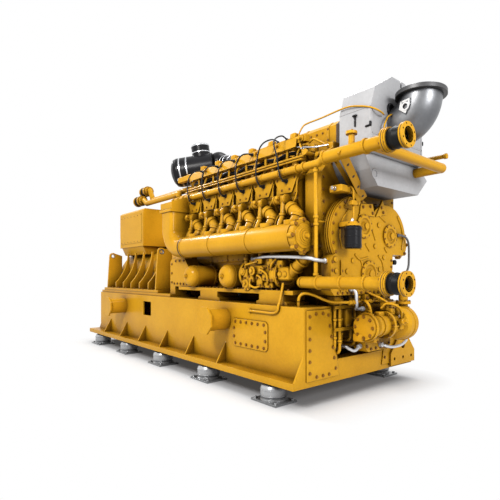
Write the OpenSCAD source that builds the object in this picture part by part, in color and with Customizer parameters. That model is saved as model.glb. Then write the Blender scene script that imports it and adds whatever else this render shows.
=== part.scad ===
// Stationary natural gas generator set: a V12 gas engine and an alternator on one
// welded base frame, standing on spring isolators.
// X runs along the crankshaft, alternator at -X, free end of the engine at +X.
// The near side is -Y. "Station" is the distance from the base frame's alternator end.

/* [Overall] */
// Length from the base flange to the face of the coolant outlets
overall_l = 8130; // [7950:10:9800]

/* [Base frame] */
// Length of the base frame
base_l = 6880; // [6200:10:6950]
// Width over the side walls
base_w = 2120; // [2080:10:2400]
// Height of the frame's top above the floor
base_top = 1165; // [1000:5:1400]
// Width of each girder along its top
girder_top_w = 470; // [440:5:480]
// Width of each girder along its bottom
girder_bottom_w = 640; // [600:5:660]
// Thickness of the girder plates
plate_t = 25; // [15:1:40]
// Width of the bottom flange outside the walls
flange_w = 170; // [150:5:200]
// Thickness of the bottom flange
flange_t = 80; // [50:5:90]
// Height of the gussets above the flange
gusset_h = 280; // [200:10:300]
// Station of the wall at the alternator end
wall_s = 246; // [200:2:260]

/* [Isolators] */
// Height of the isolators, floor to frame
foot_h = 235; // [190:5:290]
// Isolators along each side
foot_n = 5; // [3:1:6]
// Station of the first isolator, and distance of the last from the other end
foot_end = 490; // [430:5:560]
// Outer diameter of the isolator cup
cup_d = 330; // [270:5:350]
// Thickness of the isolator's floor plate
foot_plate_t = 25; // [20:1:35]

/* [Engine] */
// Height of the crankshaft above the frame's top
crank_h = 385; // [380:5:400]
// Cylinders in each bank
cyl_n = 6; // [4:1:6]
// Distance between cylinders
cyl_pitch = 450; // [430:2:470]
// Angle of a bank from the vertical
bank_a = 30; // [28:1:32]
// Crankshaft to cylinder head joint
deck_h = 970; // [950:5:990]

/* [Alternator] */
// Station of the alternator's free end
alt_s = 436; // [420:2:460]
// Half the width of the alternator frame
alt_half_w = 670; // [640:5:680]

/* [Pipework] */
// Outer diameter of the coolant pipes
coolant_d = 140; // [114:1:168]
// Outer diameter of the coolant flanges
coolant_flange_d = 250; // [240:5:300]
// Bolt circle of the coolant flanges
coolant_pcd = 210; // [200:5:212]
// Distance of the coolant pipes from the centre plane
coolant_y = 900; // [880:5:920]
// Outer diameter of the mixture tubes
mix_d = 340; // [290:5:350]
// Distance of the mixture tubes from the centre plane
mix_y = 1000; // [980:5:1020]

/* [Hidden] */
$fn = 48;

x_rear = -overall_l / 2;
half_w = base_w / 2;
web_top_y = half_w - girder_top_w;
web_bottom_y = half_w - girder_bottom_w;
flange_top = foot_h + flange_t;
crank_z = base_top + crank_h;
rail_z = crank_z - 250;
bank_end_s = base_l - 534;
cyl_s = bank_end_s - (cyl_n - 1) * cyl_pitch;
block_s0 = cyl_s - 300;
block_s1 = bank_end_s + 264;
front_s1 = base_l;
gear_s1 = front_s1 + 150;
coupling_l = 740;
alt_s1 = block_s0 - coupling_l;
clear = 0.3;

// Colours
yellow = [0.90, 0.62, 0.16];
silver = [0.78, 0.78, 0.78];
grey = [0.72, 0.72, 0.72];
black = [0.09, 0.09, 0.09];

// Place at a station measured from the alternator end
module at(s) translate([x_rear + s, 0, 0]) children();

// Extrude a Y-Z outline from one station to another
module along(s0, s1) at(s0) rotate([90, 0, 90]) linear_extrude(s1 - s0) children();

// Extrude a Y-Z outline as a plate of thickness t
module rib_at(s, t) along(s, s + t) children();

module far_side() mirror([0, 1, 0]) children();

module both_sides() {
    children();
    far_side() children();
}

// Move to the joint plane of a near cylinder head
module on_deck() translate([0, 0, crank_z]) rotate([bank_a, 0, 0]) translate([0, 0, deck_h])
    children();

// Distance of the girders' sloping inner web from the centre plane at height z
function web_y(z) = web_bottom_y
    + (web_top_y - web_bottom_y) * (z - foot_h) / (base_top - foot_h);

// Outline of the space between the two girders, from z0 to z1
module between_webs(z0, z1) polygon([
    [-web_y(z0) + clear, z0], [web_y(z0) - clear, z0],
    [web_y(z1) - clear, z1], [-web_y(z1) + clear, z1]]);

/* ---- Base frame ---- */

pocket_s = [2546, 2886];
pocket_top = 115;
pocket_h = 260;
cover_s = [base_l - 1380, base_l - 630];
cover_top = 215;
cover_h = 375;
cover_rim = 60;
cover_z = [base_top - cover_top - cover_h, base_top - cover_top];

module girder_outline() polygon([
    [-half_w, foot_h], [-web_bottom_y, foot_h], [-web_top_y, base_top], [-half_w, base_top]]);

module girder_hollow() polygon([
    [-half_w + plate_t, foot_h + plate_t],
    [-web_y(foot_h + plate_t) - plate_t, foot_h + plate_t],
    [-web_y(base_top - plate_t) - plate_t, base_top - plate_t],
    [-half_w + plate_t, base_top - plate_t]]);

// Rectangular hole through the near wall
module wall_hole(s, z) at(s[0]) translate([0, -half_w - 1, z[0]])
    cube([s[1] - s[0], plate_t + 2, z[1] - z[0]]);

module girder() difference() {
    along(wall_s, base_l) girder_outline();
    along(wall_s + plate_t, base_l - plate_t) girder_hollow();
    wall_hole(pocket_s, [base_top - pocket_top - pocket_h, base_top - pocket_top]);
    wall_hole([cover_s[0] + cover_rim, cover_s[1] - cover_rim],
        [cover_z[0] + cover_rim, cover_z[1] - cover_rim]);
}

module girder_near() color(yellow) girder();
module girder_far() color(yellow) far_side() girder();

floor_top = foot_h + plate_t;
front_beam_h = 270;
front_beam_t = 180;
cross_plate_n = 4;
cross_plate_h = 440;
cross_plate_s = alt_s + 264;
cross_plate_pitch = (block_s0 - cross_plate_s - 696) / (cross_plate_n - 1);
module cross_beams() color(yellow) {
    along(base_l - front_beam_t, base_l) between_webs(foot_h, foot_h + front_beam_h);
    along(wall_s, wall_s + plate_t) between_webs(foot_h, base_top);
    for (i = [0:cross_plate_n - 1]) rib_at(cross_plate_s + i * cross_plate_pitch, plate_t)
        between_webs(floor_top, floor_top + cross_plate_h);
}

module base_floor() color(yellow)
    along(wall_s + plate_t, base_l - front_beam_t) between_webs(foot_h, floor_top);

gusset_n = 6;
gusset_s = 876;
gusset_pitch = (base_l - 1584 - gusset_s) / (gusset_n - 1);
gusset_t = 24;
gusset_lip = 15;
module gusset(s) rib_at(s, gusset_t) polygon([[-half_w, flange_top],
    [-half_w - flange_w + gusset_lip, flange_top], [-half_w, flange_top + gusset_h]]);
module side_flange() {
    along(wall_s, base_l) translate([-half_w - flange_w, foot_h]) square([flange_w, flange_t]);
    for (i = [0:gusset_n - 1]) gusset(gusset_s + i * gusset_pitch);
    gusset(base_l - gusset_t);
}

module flange_near() color(yellow) side_flange();
module flange_far() color(yellow) far_side() side_flange();

rear_gusset_n = 5;
rear_gusset_pitch = 500;
module flange_rear() color(yellow) {
    at(0) translate([0, -half_w - flange_w, foot_h])
        cube([wall_s, base_w + 2 * flange_w, flange_t]);
    for (i = [0:rear_gusset_n - 1])
        at(0) translate([0, (i - (rear_gusset_n - 1) / 2) * rear_gusset_pitch + gusset_t / 2, 0])
            rotate([90, 0, 0]) linear_extrude(gusset_t) polygon([[gusset_lip, flange_top],
                [wall_s, flange_top], [wall_s, flange_top + gusset_h]]);
}

panel_t = 14;
panel_inset = 35;
module end_panels() color(yellow) both_sides() rib_at(base_l, panel_t) polygon([
    [-half_w + panel_inset, foot_h + 2 * panel_inset],
    [-web_bottom_y - panel_inset, foot_h + 2 * panel_inset],
    [-web_top_y - panel_inset, base_top - panel_inset],
    [-half_w + panel_inset, base_top - panel_inset]]);

cover_t = 14;
cover_r = 60;
// Plate with rounded corners in the X-Z plane, on the outside of the near wall
module rounded_plate(s, z, r, t) at(0) translate([0, -half_w, 0]) rotate([90, 0, 0])
    linear_extrude(t) {
        translate([s[0] + r, z[0]]) square([s[1] - s[0] - 2 * r, z[1] - z[0]]);
        translate([s[0], z[0] + r]) square([s[1] - s[0], z[1] - z[0] - 2 * r]);
        for (x = [s[0] + r, s[1] - r], y = [z[0] + r, z[1] - r])
            translate([x, y]) circle(r);
    }
module side_covers() color(yellow) both_sides() rounded_plate(cover_s, cover_z, cover_r, cover_t);

trunnion_s = [1640, base_l - 1584];
trunnion_drop = 245;
trunnion_d = 300;
trunnion_l = 330;
trunnion_plate_d = 400;
module trunnion() translate([0, -half_w, base_top - trunnion_drop]) rotate([90, 0, 0]) {
    cylinder(d = trunnion_d, h = trunnion_l);
    translate([0, 0, trunnion_l]) rotate(22.5)
        cylinder(d = trunnion_plate_d, h = plate_t, $fn = 8);
}
module trunnions() color(yellow) for (s = trunnion_s) at(s) both_sides() trunnion();

/* ---- Isolators ---- */

foot_pitch = (base_l - 2 * foot_end) / (foot_n - 1);
foot_y = half_w + 30;
foot_plate = [460, 350];
foot_hole_d = 26;
foot_hole_pitch = [380, 270];
cup_profile = [[0, 0], [cup_d / 2 + 5, 0], [cup_d / 2 + 5, 18], [cup_d / 2 - 10, 30],
    [cup_d / 2, 60], [cup_d / 2, foot_h - 85], [cup_d / 2 - 15, foot_h - 53],
    [cup_d / 2 - 50, foot_h - 37], [cup_d / 4, foot_h - 37],
    [cup_d / 4, foot_h - foot_plate_t], [0, foot_h - foot_plate_t]];

// Spring isolator: a floor plate with four holes and the round cup on it
module isolator() {
    difference() {
        translate([-foot_plate[0] / 2, -foot_plate[1] / 2, 0])
            cube([foot_plate[0], foot_plate[1], foot_plate_t]);
        for (x = [-0.5, 0.5], y = [-0.5, 0.5])
            translate([x * foot_hole_pitch[0], y * foot_hole_pitch[1], -1])
                cylinder(d = foot_hole_d, h = foot_plate_t + 2);
    }
    translate([0, 0, foot_plate_t]) rotate_extrude() polygon(cup_profile);
}
module isolators() color(silver) for (i = [0:foot_n - 1], side = [-1, 1])
    at(foot_end + i * foot_pitch) translate([0, side * foot_y, 0]) isolator();

/* ---- Alternator ---- */

alt_top = crank_z + 600;
alt_r = 700;
alt_drum_r = web_top_y - 30;
alt_foot_z = base_top + 105;
foot_rail_z = base_top + 50;

module alt_shell(grow) translate([0, alt_top - alt_r]) circle(alt_r + grow, $fn = 96);
module alt_outline() {
    intersection() {
        alt_shell(0);
        translate([-alt_half_w, alt_foot_z]) square([2 * alt_half_w, alt_top]);
    }
    translate([0, crank_z]) circle(alt_drum_r, $fn = 96);
}
module alternator_body() color(yellow) along(alt_s, alt_s1) alt_outline();

// Everything outside the alternator's side, where fins and plates end
module outside_shell() difference() {
    children();
    alt_shell(clear);
    translate([-alt_half_w - clear, 0]) square([2 * alt_half_w, 2 * crank_z]);
}

fin_n = 5;
fin_s = alt_s + 470;
fin_pitch = (alt_s1 - fin_s - 510) / (fin_n - 1);
fin_t = 36;
fin_out = 300;
fin_h = 760;
fin_curve_r = 960;
lift_s = [alt_s + 40, alt_s1 - 136];
lift_t = 40;
lift_y = 880;
lift_z = crank_z + 435;
lift_lug_r = 75;
lift_hole_r = 32;

// Fin with a hollow outer edge that flares out to the foot
module fin_outline() outside_shell() difference() {
    translate([-alt_half_w - fin_out, alt_foot_z]) square([fin_out + 100, fin_h]);
    translate([-alt_half_w - fin_out - fin_curve_r + 270, alt_foot_z + fin_h + 30])
        circle(fin_curve_r, $fn = 96);
}
// Lifting plate: a tall fin with a holed lug at its outer top corner
module lifting_outline() difference() {
    outside_shell() {
        polygon([[-alt_half_w + 100, alt_foot_z], [-alt_half_w - fin_out - 30, alt_foot_z],
            [-lift_y - lift_lug_r, lift_z], [-lift_y, lift_z + lift_lug_r],
            [-alt_half_w + 100, lift_z - 20]]);
        translate([-lift_y, lift_z]) circle(lift_lug_r);
    }
    translate([-lift_y, lift_z]) circle(lift_hole_r);
}
module alternator_fins() color(yellow) both_sides() {
    for (i = [0:fin_n - 1]) rib_at(fin_s + i * fin_pitch, fin_t) fin_outline();
    for (s = lift_s) rib_at(s, lift_t) lifting_outline();
}

foot_bar_w = half_w - alt_half_w + 10;
foot_rail_w = half_w - alt_half_w;
module alternator_feet() color(yellow) both_sides() {
    along(wall_s, block_s0 - 220) translate([-half_w + 30, base_top])
        square([foot_bar_w, foot_rail_z - base_top]);
    along(alt_s - 100, alt_s1) translate([-half_w + 50, foot_rail_z])
        square([foot_rail_w, alt_foot_z - foot_rail_z]);
}

tbox_s = [alt_s + 50, (alt_s + alt_s1) / 2 - 10];
tbox_half_w = 700;
tbox_z = [alt_top + 20, alt_top + 820];
tbox_edge = 40;
tbox_door_t = 60;
neck_z = alt_top - 150;
neck_half_w = 600;
// Cable box with a chamfered top, a door at the end and a tapered saddle on the shell
module terminal_box() color(yellow) {
    along(tbox_s[0], tbox_s[1]) polygon([
        [-tbox_half_w, tbox_z[0]], [tbox_half_w, tbox_z[0]],
        [tbox_half_w, tbox_z[1] - tbox_edge], [tbox_half_w - tbox_edge, tbox_z[1]],
        [-tbox_half_w + tbox_edge, tbox_z[1]], [-tbox_half_w, tbox_z[1] - tbox_edge]]);
    along(tbox_s[0] - tbox_door_t, tbox_s[0]) translate([-tbox_half_w + 20, tbox_z[0] + 240])
        square([2 * tbox_half_w - 40, tbox_z[1] - tbox_z[0] - 260]);
    along(tbox_s[0] + 60, tbox_s[1] - 60) difference() {
        polygon([[-neck_half_w, neck_z], [neck_half_w, neck_z],
            [tbox_half_w - 20, tbox_z[0]], [-tbox_half_w + 20, tbox_z[0]]]);
        alt_shell(clear);
    }
}

/* ---- Engine block ---- */

// Straight run of pipe from point a to point b
module pipe_run(a, b, d) translate(a) rotate([0, acos((b[2] - a[2]) / norm(b - a)),
    atan2(b[1] - a[1], b[0] - a[0])]) cylinder(d = d, h = norm(b - a));

// Pipe along a list of points, with a slightly larger ball at each bend
bend_bead = 3;
module pipe(points, d) {
    for (i = [1:len(points) - 1]) pipe_run(points[i - 1], points[i], d);
    for (i = [1:1:len(points) - 2]) translate(points[i]) sphere(d = d + bend_bead);
}

// Extrude an X-Z outline, drawn with station 0 at x = 0, from y0 outwards to y1 on the near side
module outwards(y0, y1) translate([0, -y0, 0]) rotate([90, 0, 0]) linear_extrude(y1 - y0)
    children();

coupling_r = norm([web_top_y, crank_h]) - 25;
coupling_core_r = coupling_r - 80;
coupling_ring_n = 3;
coupling_ring_t = 60;
bracket_y = [700, 930];
bracket_l = 660;
bracket_top = crank_z + 285;
// Flywheel housing: ribbed drum, and the bolted bracket that carries it on each girder
module coupling_housing() color(yellow) {
    along(alt_s1, block_s0) translate([0, crank_z]) circle(coupling_core_r, $fn = 96);
    for (i = [0:coupling_ring_n - 1]) rib_at(alt_s1 + 60 + i * 200, coupling_ring_t)
        translate([0, crank_z]) circle(coupling_r, $fn = 96);
    both_sides() {
        at(block_s0 - 400) outwards(bracket_y[0], bracket_y[1]) polygon([
            [0, rail_z + rail_t], [bracket_l, rail_z + rail_t], [bracket_l, bracket_top - 180],
            [bracket_l - 160, bracket_top], [60, bracket_top], [0, bracket_top - 60]]);
        along(block_s0 - 400, block_s0 - 340) translate([-bracket_y[1], rail_z + rail_t])
            square([bracket_y[1] - coupling_core_r + 60, 240]);
        at(block_s0 - 400) outwards(bracket_y[0], bracket_y[1])
            polygon([[0, foot_rail_z], [180, foot_rail_z], [180, rail_z + rail_t + 1],
                [0, rail_z + rail_t + 1]]);
    }
}

mount_s = [block_s0 + 640, block_s1 - 700];
mount_l = 600;
mount_foot = 60;
rail_t = 50;
rail_half_w = half_w - 80;
module engine_mounts() color(yellow) both_sides() for (s = mount_s) at(s)
    outwards(block_half_w, rail_half_w) polygon([[0, base_top], [mount_l, base_top],
        [mount_l, base_top + 35], [mount_l - mount_foot, base_top + 55],
        [mount_l - mount_foot, rail_z], [mount_foot, rail_z], [mount_foot, base_top + 55],
        [0, base_top + 35]]);

pan_half_w = web_bottom_y - 20;
pan_keel = 250;
pan_h = 740;
pan_rib_n = 5;
module pan_outline(grow) polygon([
    [-pan_half_w - grow, rail_z], [-pan_half_w - grow, rail_z - pan_h + 140],
    [-pan_keel, rail_z - pan_h - grow], [pan_keel, rail_z - pan_h - grow],
    [pan_half_w + grow, rail_z - pan_h + 140], [pan_half_w + grow, rail_z]]);
// Oil pan with cast ribs round it
module oil_pan() color(yellow) {
    along(block_s0 + 100, block_s1 + 60) pan_outline(0);
    for (i = [0:pan_rib_n - 1])
        rib_at(block_s0 + 250 + i * (block_s1 - block_s0 - 400) / (pan_rib_n - 1), 30)
            pan_outline(15);
}

bank_half = 260;
block_half_w = 600;
valley_z = crank_z + 640;
// Corner of a bank's deck, u across it from its centre line
function deck_y(u) = -deck_h * sin(bank_a) + u * cos(bank_a);
function deck_z(u) = crank_z + deck_h * cos(bank_a) + u * sin(bank_a);
shoulder_z = deck_z(-bank_half) - (-deck_y(-bank_half) - block_half_w) / tan(bank_a);
valley_y = deck_y(bank_half) + (deck_z(bank_half) - valley_z) * tan(bank_a);
half_block = [[-rail_half_w, rail_z], [-rail_half_w, rail_z + rail_t],
    [-block_half_w, rail_z + rail_t], [-block_half_w, shoulder_z],
    [deck_y(-bank_half), deck_z(-bank_half)], [deck_y(bank_half), deck_z(bank_half)],
    [valley_y, valley_z]];
cam_cover_z = [crank_z + 190, crank_z + 350];
cam_cover_t = 45;
// V-shaped block on its mounting rails, with the long camshaft covers on its sides
module crankcase() color(yellow) {
    along(block_s0, block_s1) polygon(concat(half_block,
        [for (i = [len(half_block) - 1:-1:0]) [-half_block[i][0], half_block[i][1]]]));
    both_sides() along(block_s0 + 40, block_s1 - 40) polygon([
        [-block_half_w + 1, cam_cover_z[0]], [-block_half_w - cam_cover_t, cam_cover_z[0] + 30],
        [-block_half_w - cam_cover_t, cam_cover_z[1] - 30], [-block_half_w + 1, cam_cover_z[1]]]);
}

head_l = cyl_pitch - 50;
head_half = 240;
head_h = 290;
cover_half = 205;
rocker_top = 440;
funnel_y = [560, 850];
funnel_z = [crank_z + 1035, crank_z + 1250];
funnel_half = [112, cyl_pitch / 2 - 15];
// Outline of a cylinder head across its bank: block, joint and arched rocker cover
module head_outline() polygon([[-head_half, 0], [head_half, 0], [head_half, head_h - 30],
    [cover_half, head_h], [cover_half, head_h + 40], [cover_half - 55, rocker_top - 15],
    [cover_half - 110, rocker_top], [110 - cover_half, rocker_top],
    [55 - cover_half, rocker_top - 15], [-cover_half, head_h + 40], [-cover_half, head_h],
    [-head_half, head_h - 30]]);
// One cylinder head, with the funnel-shaped end of its rocker cover on the outer side
module head(i) at(cyl_s + i * cyl_pitch) {
    translate([-head_l / 2, 0, 0]) on_deck() rotate([90, 0, 90]) linear_extrude(head_l)
        head_outline();
    outwards(funnel_y[0], funnel_y[1]) polygon([
        [-funnel_half[0], funnel_z[0]], [funnel_half[0], funnel_z[0]],
        [funnel_half[1], funnel_z[1] - 30], [funnel_half[1], funnel_z[1]],
        [-funnel_half[1], funnel_z[1]], [-funnel_half[1], funnel_z[1] - 30]]);
}
module heads_near() color(yellow) for (i = [0:cyl_n - 1]) head(i);
module heads_far() color(yellow) far_side() for (i = [0:cyl_n - 1]) head(i);

/* ---- Mixture intake ---- */

mix_z = crank_z + 450;
mix_s = [cyl_s - 10, block_s1 + 216];
mix_disc_t = 60;
mix_disc_d = mix_d + 40;
mix_ear_n = 8;
mix_ear_d = 60;
mix_ring_w = 40;
port_t = 40;
clamp_d = 110;
clamp_l = 230;
runner_d = 80;
duct_d = 150;

module mix_tube_outline(d) translate([-mix_y, mix_z]) circle(d = d, $fn = 64);
// Mixture tube of one bank, with joint rings and a cover whose rim has lugs for its bolts
module mixture_tubes() color(yellow) both_sides() {
    along(mix_s[0], mix_s[1] - mix_disc_t) mix_tube_outline(mix_d);
    for (i = [1:2:cyl_n - 2]) rib_at(cyl_s + (i + 0.9) * cyl_pitch, mix_ring_w)
        mix_tube_outline(mix_d + 16);
    along(mix_s[1] - mix_disc_t, mix_s[1]) {
        mix_tube_outline(mix_disc_d);
        for (i = [0:mix_ear_n - 1]) translate([-mix_y, mix_z]) rotate(i * 360 / mix_ear_n)
            translate([mix_disc_d / 2, 0]) circle(d = mix_ear_d);
    }
    along(mix_s[1] - 1, mix_s[1] + 25) mix_tube_outline(mix_d / 2);
}

// Ports of one head: the bolted port flange, the clamp under the funnel, and the two
// runners that swing down to the mixture tube
module duct(i) difference() {
    at(cyl_s + i * cyl_pitch) {
        on_deck() {
            translate([-150, -head_half - port_t, 40]) cube([300, port_t, 200]);
            translate([-clamp_l / 2 - 30, -head_half - clamp_d / 2 - 2, head_h + 10])
                rotate([0, 90, 0]) cylinder(d = clamp_d, h = clamp_l);
            translate([-90, -head_half - clamp_d / 2 - 2, 180])
                cube([160, clamp_d / 2, head_h - 170]);
        }
        translate([0, -mix_y, mix_z]) {
            pipe([[10, 110, 480], [30, 80, 290], [40, 5, mix_d / 2 - 30]], runner_d);
            pipe([[110, 125, 400], [280, 100, 275], [270, 15, mix_d / 2 - 60]], duct_d);
            translate([270, 0, 0]) cylinder(d = duct_d + 50, h = mix_d / 2 + 30);
        }
    }
    along(mix_s[0], mix_s[1]) mix_tube_outline(mix_d + 2 * clear);
    along(block_s1 - 1, front_s1) housing_outline();
}
module ducts_near() color(yellow) for (i = [0:cyl_n - 1]) duct(i);
module ducts_far() color(yellow) far_side() for (i = [0:cyl_n - 1]) duct(i);

cooler_s = [block_s0 - 990, block_s0 - 40];
cooler_z = [crank_z + coupling_r, crank_z + 1500];
cooler_half_w = block_half_w + 10;
duct_half = [185, 220];
duct_y = mix_y - 60;
duct_s = block_s0 - 111;
cooler_edge = 60;
hood_z = [crank_z + 1080, crank_z + 1220];
// Charge mixture cooler: a core box with header plates and four tie ribs round it
module mixture_cooler() color(yellow) {
    along(cooler_s[0], cooler_s[1]) cooler_outline(0);
    for (i = [0:3]) rib_at(cooler_s[0] + 60 + i * 190, 30) cooler_outline(18);
}
module cooler_outline(grow) polygon([
    [-cooler_half_w - grow, cooler_z[0]], [cooler_half_w + grow, cooler_z[0]],
    [cooler_half_w + grow, cooler_z[1] - cooler_edge], [cooler_half_w - cooler_edge,
    cooler_z[1]], [-cooler_half_w + cooler_edge, cooler_z[1]],
    [-cooler_half_w - grow, cooler_z[1] - cooler_edge]]);

bend_n = 8;
bend_r = 300;
bend_s = duct_s + bend_r;
// Rounded rectangle of half sizes a and b; p near 0 is square, p of 1 is an ellipse
function rounded(a, b, p) = [for (t = [0:11.25:348.75])
    [a * sign(cos(t)) * pow(abs(cos(t)), p), b * sign(sin(t)) * pow(abs(sin(t)), p)]];
// Cross-section of the elbow, from the square duct at k = 0 to the round tube at k = 1
module elbow_section(k) at(bend_s)
    translate([0, -duct_y - k * (mix_y - duct_y), mix_z + bend_r]) rotate([0, -90 * k, 0])
        translate([-bend_r, 0, -1]) linear_extrude(2) polygon(rounded(
            duct_half[0] + k * (mix_d / 2 - duct_half[0]),
            duct_half[1] + k * (mix_d / 2 - duct_half[1]), 0.3 + 0.7 * k));
// Duct from the cooler, down and round into the mixture tube, under its sloping hood
module elbow() {
    for (i = [1:bend_n]) hull() {
        elbow_section((i - 1) / bend_n);
        elbow_section(i / bend_n);
    }
    along(bend_s, mix_s[0] - 30) translate([-mix_y, mix_z])
        polygon(rounded(mix_d / 2, mix_d / 2, 1));
    along(mix_s[0] - 31, mix_s[0]) translate([-mix_y, mix_z])
        polygon(rounded(mix_d / 2 - 12, mix_d / 2 - 12, 1));
    at(duct_s) translate([0, -duct_y, mix_z + bend_r]) linear_extrude(hood_z[0] - mix_z - bend_r)
        polygon(rounded(duct_half[0], duct_half[1], 0.3));
    along(duct_s - duct_half[0] - 15, duct_s + duct_half[0] + 15) polygon([
        [-duct_y - duct_half[1] - 20, hood_z[0] - 20], [-cooler_half_w - clear, hood_z[0] - 20],
        [-cooler_half_w - clear, cooler_z[1] - cooler_edge - 20],
        [-duct_y - duct_half[1], hood_z[1]], [-duct_y - duct_half[1], hood_z[0] + 20],
        [-duct_y - duct_half[1] - 20, hood_z[0] + 20]]);
}
module mixture_elbows() color(yellow) both_sides() elbow();

/* ---- Free end of the engine ---- */

housing_low_w = block_half_w + 40;
housing_half_w = 760;
housing_top = crank_z + 1400;
module housing_outline() polygon([
    [-housing_low_w, rail_z], [housing_low_w, rail_z], [housing_low_w, crank_z + 100],
    [housing_half_w, crank_z + 750], [housing_half_w, crank_z + 1230],
    [620, housing_top], [-620, housing_top], [-housing_half_w, crank_z + 1230],
    [-housing_half_w, crank_z + 750], [-housing_low_w, crank_z + 100]]);
// Housing that joins the block to the gear case and carries the turbochargers
module front_housing() color(yellow) along(block_s1, front_s1) housing_outline();

gear_y = 380;
gear_z = crank_z + 490;
gear_r = 440;
gear_ear_n = 22;
gear_ear_d = 56;
idler_y = -290;
idler_z = crank_z + 490;
idler_r = 470;
gear_case_t = 150;
gear_flange_t = 40;
gear_plate_y = -764;
gear_low_y = gear_y + 120;
gear_notch_h = 220;
// Corner cut out of the gear's circle, above the narrower foot of the case
module notched() difference() {
    children();
    translate([gear_low_y + 10, gear_z - 2 * gear_r])
        square([gear_r, 2 * gear_r - gear_notch_h]);
}
// Outline of the gear case over the gear train: camshaft gear, idler and crankshaft
module gear_outline() {
    notched() translate([gear_y, gear_z]) circle(gear_r, $fn = 96);
    translate([idler_y, idler_z]) circle(idler_r, $fn = 96);
    polygon([[-block_half_w - 100, rail_z], [gear_low_y, rail_z], [gear_low_y, gear_z - 280],
        [idler_y - 300, idler_z - 260], [-block_half_w - 100, crank_z + 240],
        [gear_plate_y, crank_z + 190], [gear_plate_y, rail_z + 60]]);
}
// Gear case with its joint flange, which has a lug for each bolt round the gear
module gear_case() color(yellow) {
    along(front_s1, gear_s1) gear_outline();
    along(front_s1, front_s1 + gear_flange_t) notched() {
        translate([gear_y, gear_z]) circle(gear_r + 20, $fn = 96);
        for (i = [0:gear_ear_n - 1]) translate([gear_y, gear_z]) rotate(i * 360 / gear_ear_n)
            translate([gear_r + 10, 0]) circle(d = gear_ear_d);
    }
}

// Round cover on the gear case: a plate, a raised ring and a hub
module round_cover(y, z, r, hub) at(gear_s1) translate([0, y, z]) rotate([0, 90, 0])
    rotate_extrude($fn = 96) polygon([[0, 0], [r, 0], [r, 22], [r - 20, 30], [r - 45, 30],
        [r - 60, 14], [hub + 25, 14], [hub, 40], [hub, 60], [0, 60]]);
module gear_covers() color(yellow) {
    round_cover(gear_y + 50, gear_z + 30, 150, 45);
    round_cover(idler_y + 150, idler_z + 120, 150, 40);
    round_cover(-30, crank_z + 10, 165, 50);
}

canister_d = 200;
canister_h = 260;
canister_y = -580;
canister_s = gear_s1 + canister_d / 2 + 80;
canister_z = crank_z + 300;
// Spin-on canister hanging from its bracket on the gear case
module oil_canister() color(black) {
    at(canister_s) translate([0, canister_y, canister_z]) rotate_extrude() polygon([
        [0, 0], [canister_d / 2 - 15, 0], [canister_d / 2, 15], [canister_d / 2, canister_h - 40],
        [canister_d / 2 + 6, canister_h - 40], [canister_d / 2 + 6, canister_h - 20],
        [canister_d / 2 - 10, canister_h], [0, canister_h]]);
    at(gear_s1) translate([0, canister_y, canister_z + canister_h]) {
        translate([0, -50, 0]) cube([canister_s - gear_s1, 100, 50]);
        translate([canister_s - gear_s1, 0, 0]) cylinder(d = 100, h = 50);
    }
}

cooler_core_s = [base_l - 1330, base_l - 560];
filter_s = [(block_s0 + cooler_core_s[0] - 224) / 2 - 245, cooler_core_s[0] - 224];
filter_d = 340;
filter_l = 420;
filter_dome = 110;
filter_z = rail_z + rail_t + filter_d / 2 + 10;
filter_base = 230;
// Lube oil filter bowl: a domed canister on its round base
module oil_filters() color(yellow) for (s = filter_s)
    at(s) translate([0, -block_half_w, filter_z]) rotate([90, 0, 0]) rotate_extrude($fn = 64)
        polygon(concat([[0, 0], [filter_base / 2, 0], [filter_base / 2, 30],
            [filter_d / 2, 50]], [for (a = [0:15:90])
            [filter_d / 2 * pow(cos(a), 0.7), filter_l + filter_dome * sin(a)]]));

cooler_core_d = 320;
cooler_core_y = block_half_w + 205;
cooler_core_z = rail_z + rail_t + 205;
cooler_end_d = 400;
cooler_end_t = 45;
cooler_top_z = cooler_core_z + 130;
// Tube bundle oil cooler along the block, with end bonnets, saddles and a valve block on top
module oil_cooler() color(yellow) {
    at(cooler_core_s[0]) translate([0, -cooler_core_y, cooler_core_z]) rotate([0, 90, 0]) {
        cylinder(d = cooler_core_d, h = cooler_core_s[1] - cooler_core_s[0]);
        cylinder(d = cooler_end_d, h = cooler_end_t);
        translate([0, 0, cooler_core_s[1] - cooler_core_s[0] - cooler_end_t])
            cylinder(d = cooler_end_d, h = cooler_end_t);
    }
    for (k = [0.25, 0.7]) rib_at(cooler_core_s[0] + k * (cooler_core_s[1] - cooler_core_s[0]), 60)
        polygon([[-rail_half_w + 40, rail_z + rail_t], [-block_half_w, rail_z + rail_t],
            [-block_half_w, cooler_core_z + 60], [-cooler_core_y, cooler_core_z + 60],
            [-rail_half_w + 60, cooler_core_z - 60]]);
    along(cooler_core_s[0] + 130, cooler_core_s[1] - 90) polygon([
        [-block_half_w - cam_cover_t - 10, cooler_top_z - 60],
        [-block_half_w - cam_cover_t - 10, cooler_top_z + 130],
        [-cooler_core_y - 60, cooler_top_z + 130], [-cooler_core_y - 110, cooler_top_z + 60],
        [-cooler_core_y - 110, cooler_top_z - 60]]);
    at(cooler_core_s[0] + 70) translate([0, -cooler_core_y + 20, cooler_core_z]) {
        cylinder(d = 170, h = 270);
        translate([0, 0, 270]) sphere(d = 173);
    }
    difference() {
        at(cooler_core_s[1] - 1) pipe([[0, -cooler_core_y, cooler_core_z - 40],
            [130, -cooler_core_y - 75, cooler_core_z - 20],
            [380, -cooler_core_y - 75, cooler_core_z + 180],
            [450, -block_half_w, cooler_core_z + 290]], 140);
        along(block_s1, front_s1) housing_outline();
    }
}

pump_s = base_l + 400;
pump_z = crank_z - 620;
pump_y = -470;
pump_pipe_y = 370;
pump_block_y = [-160, 390];
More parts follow.
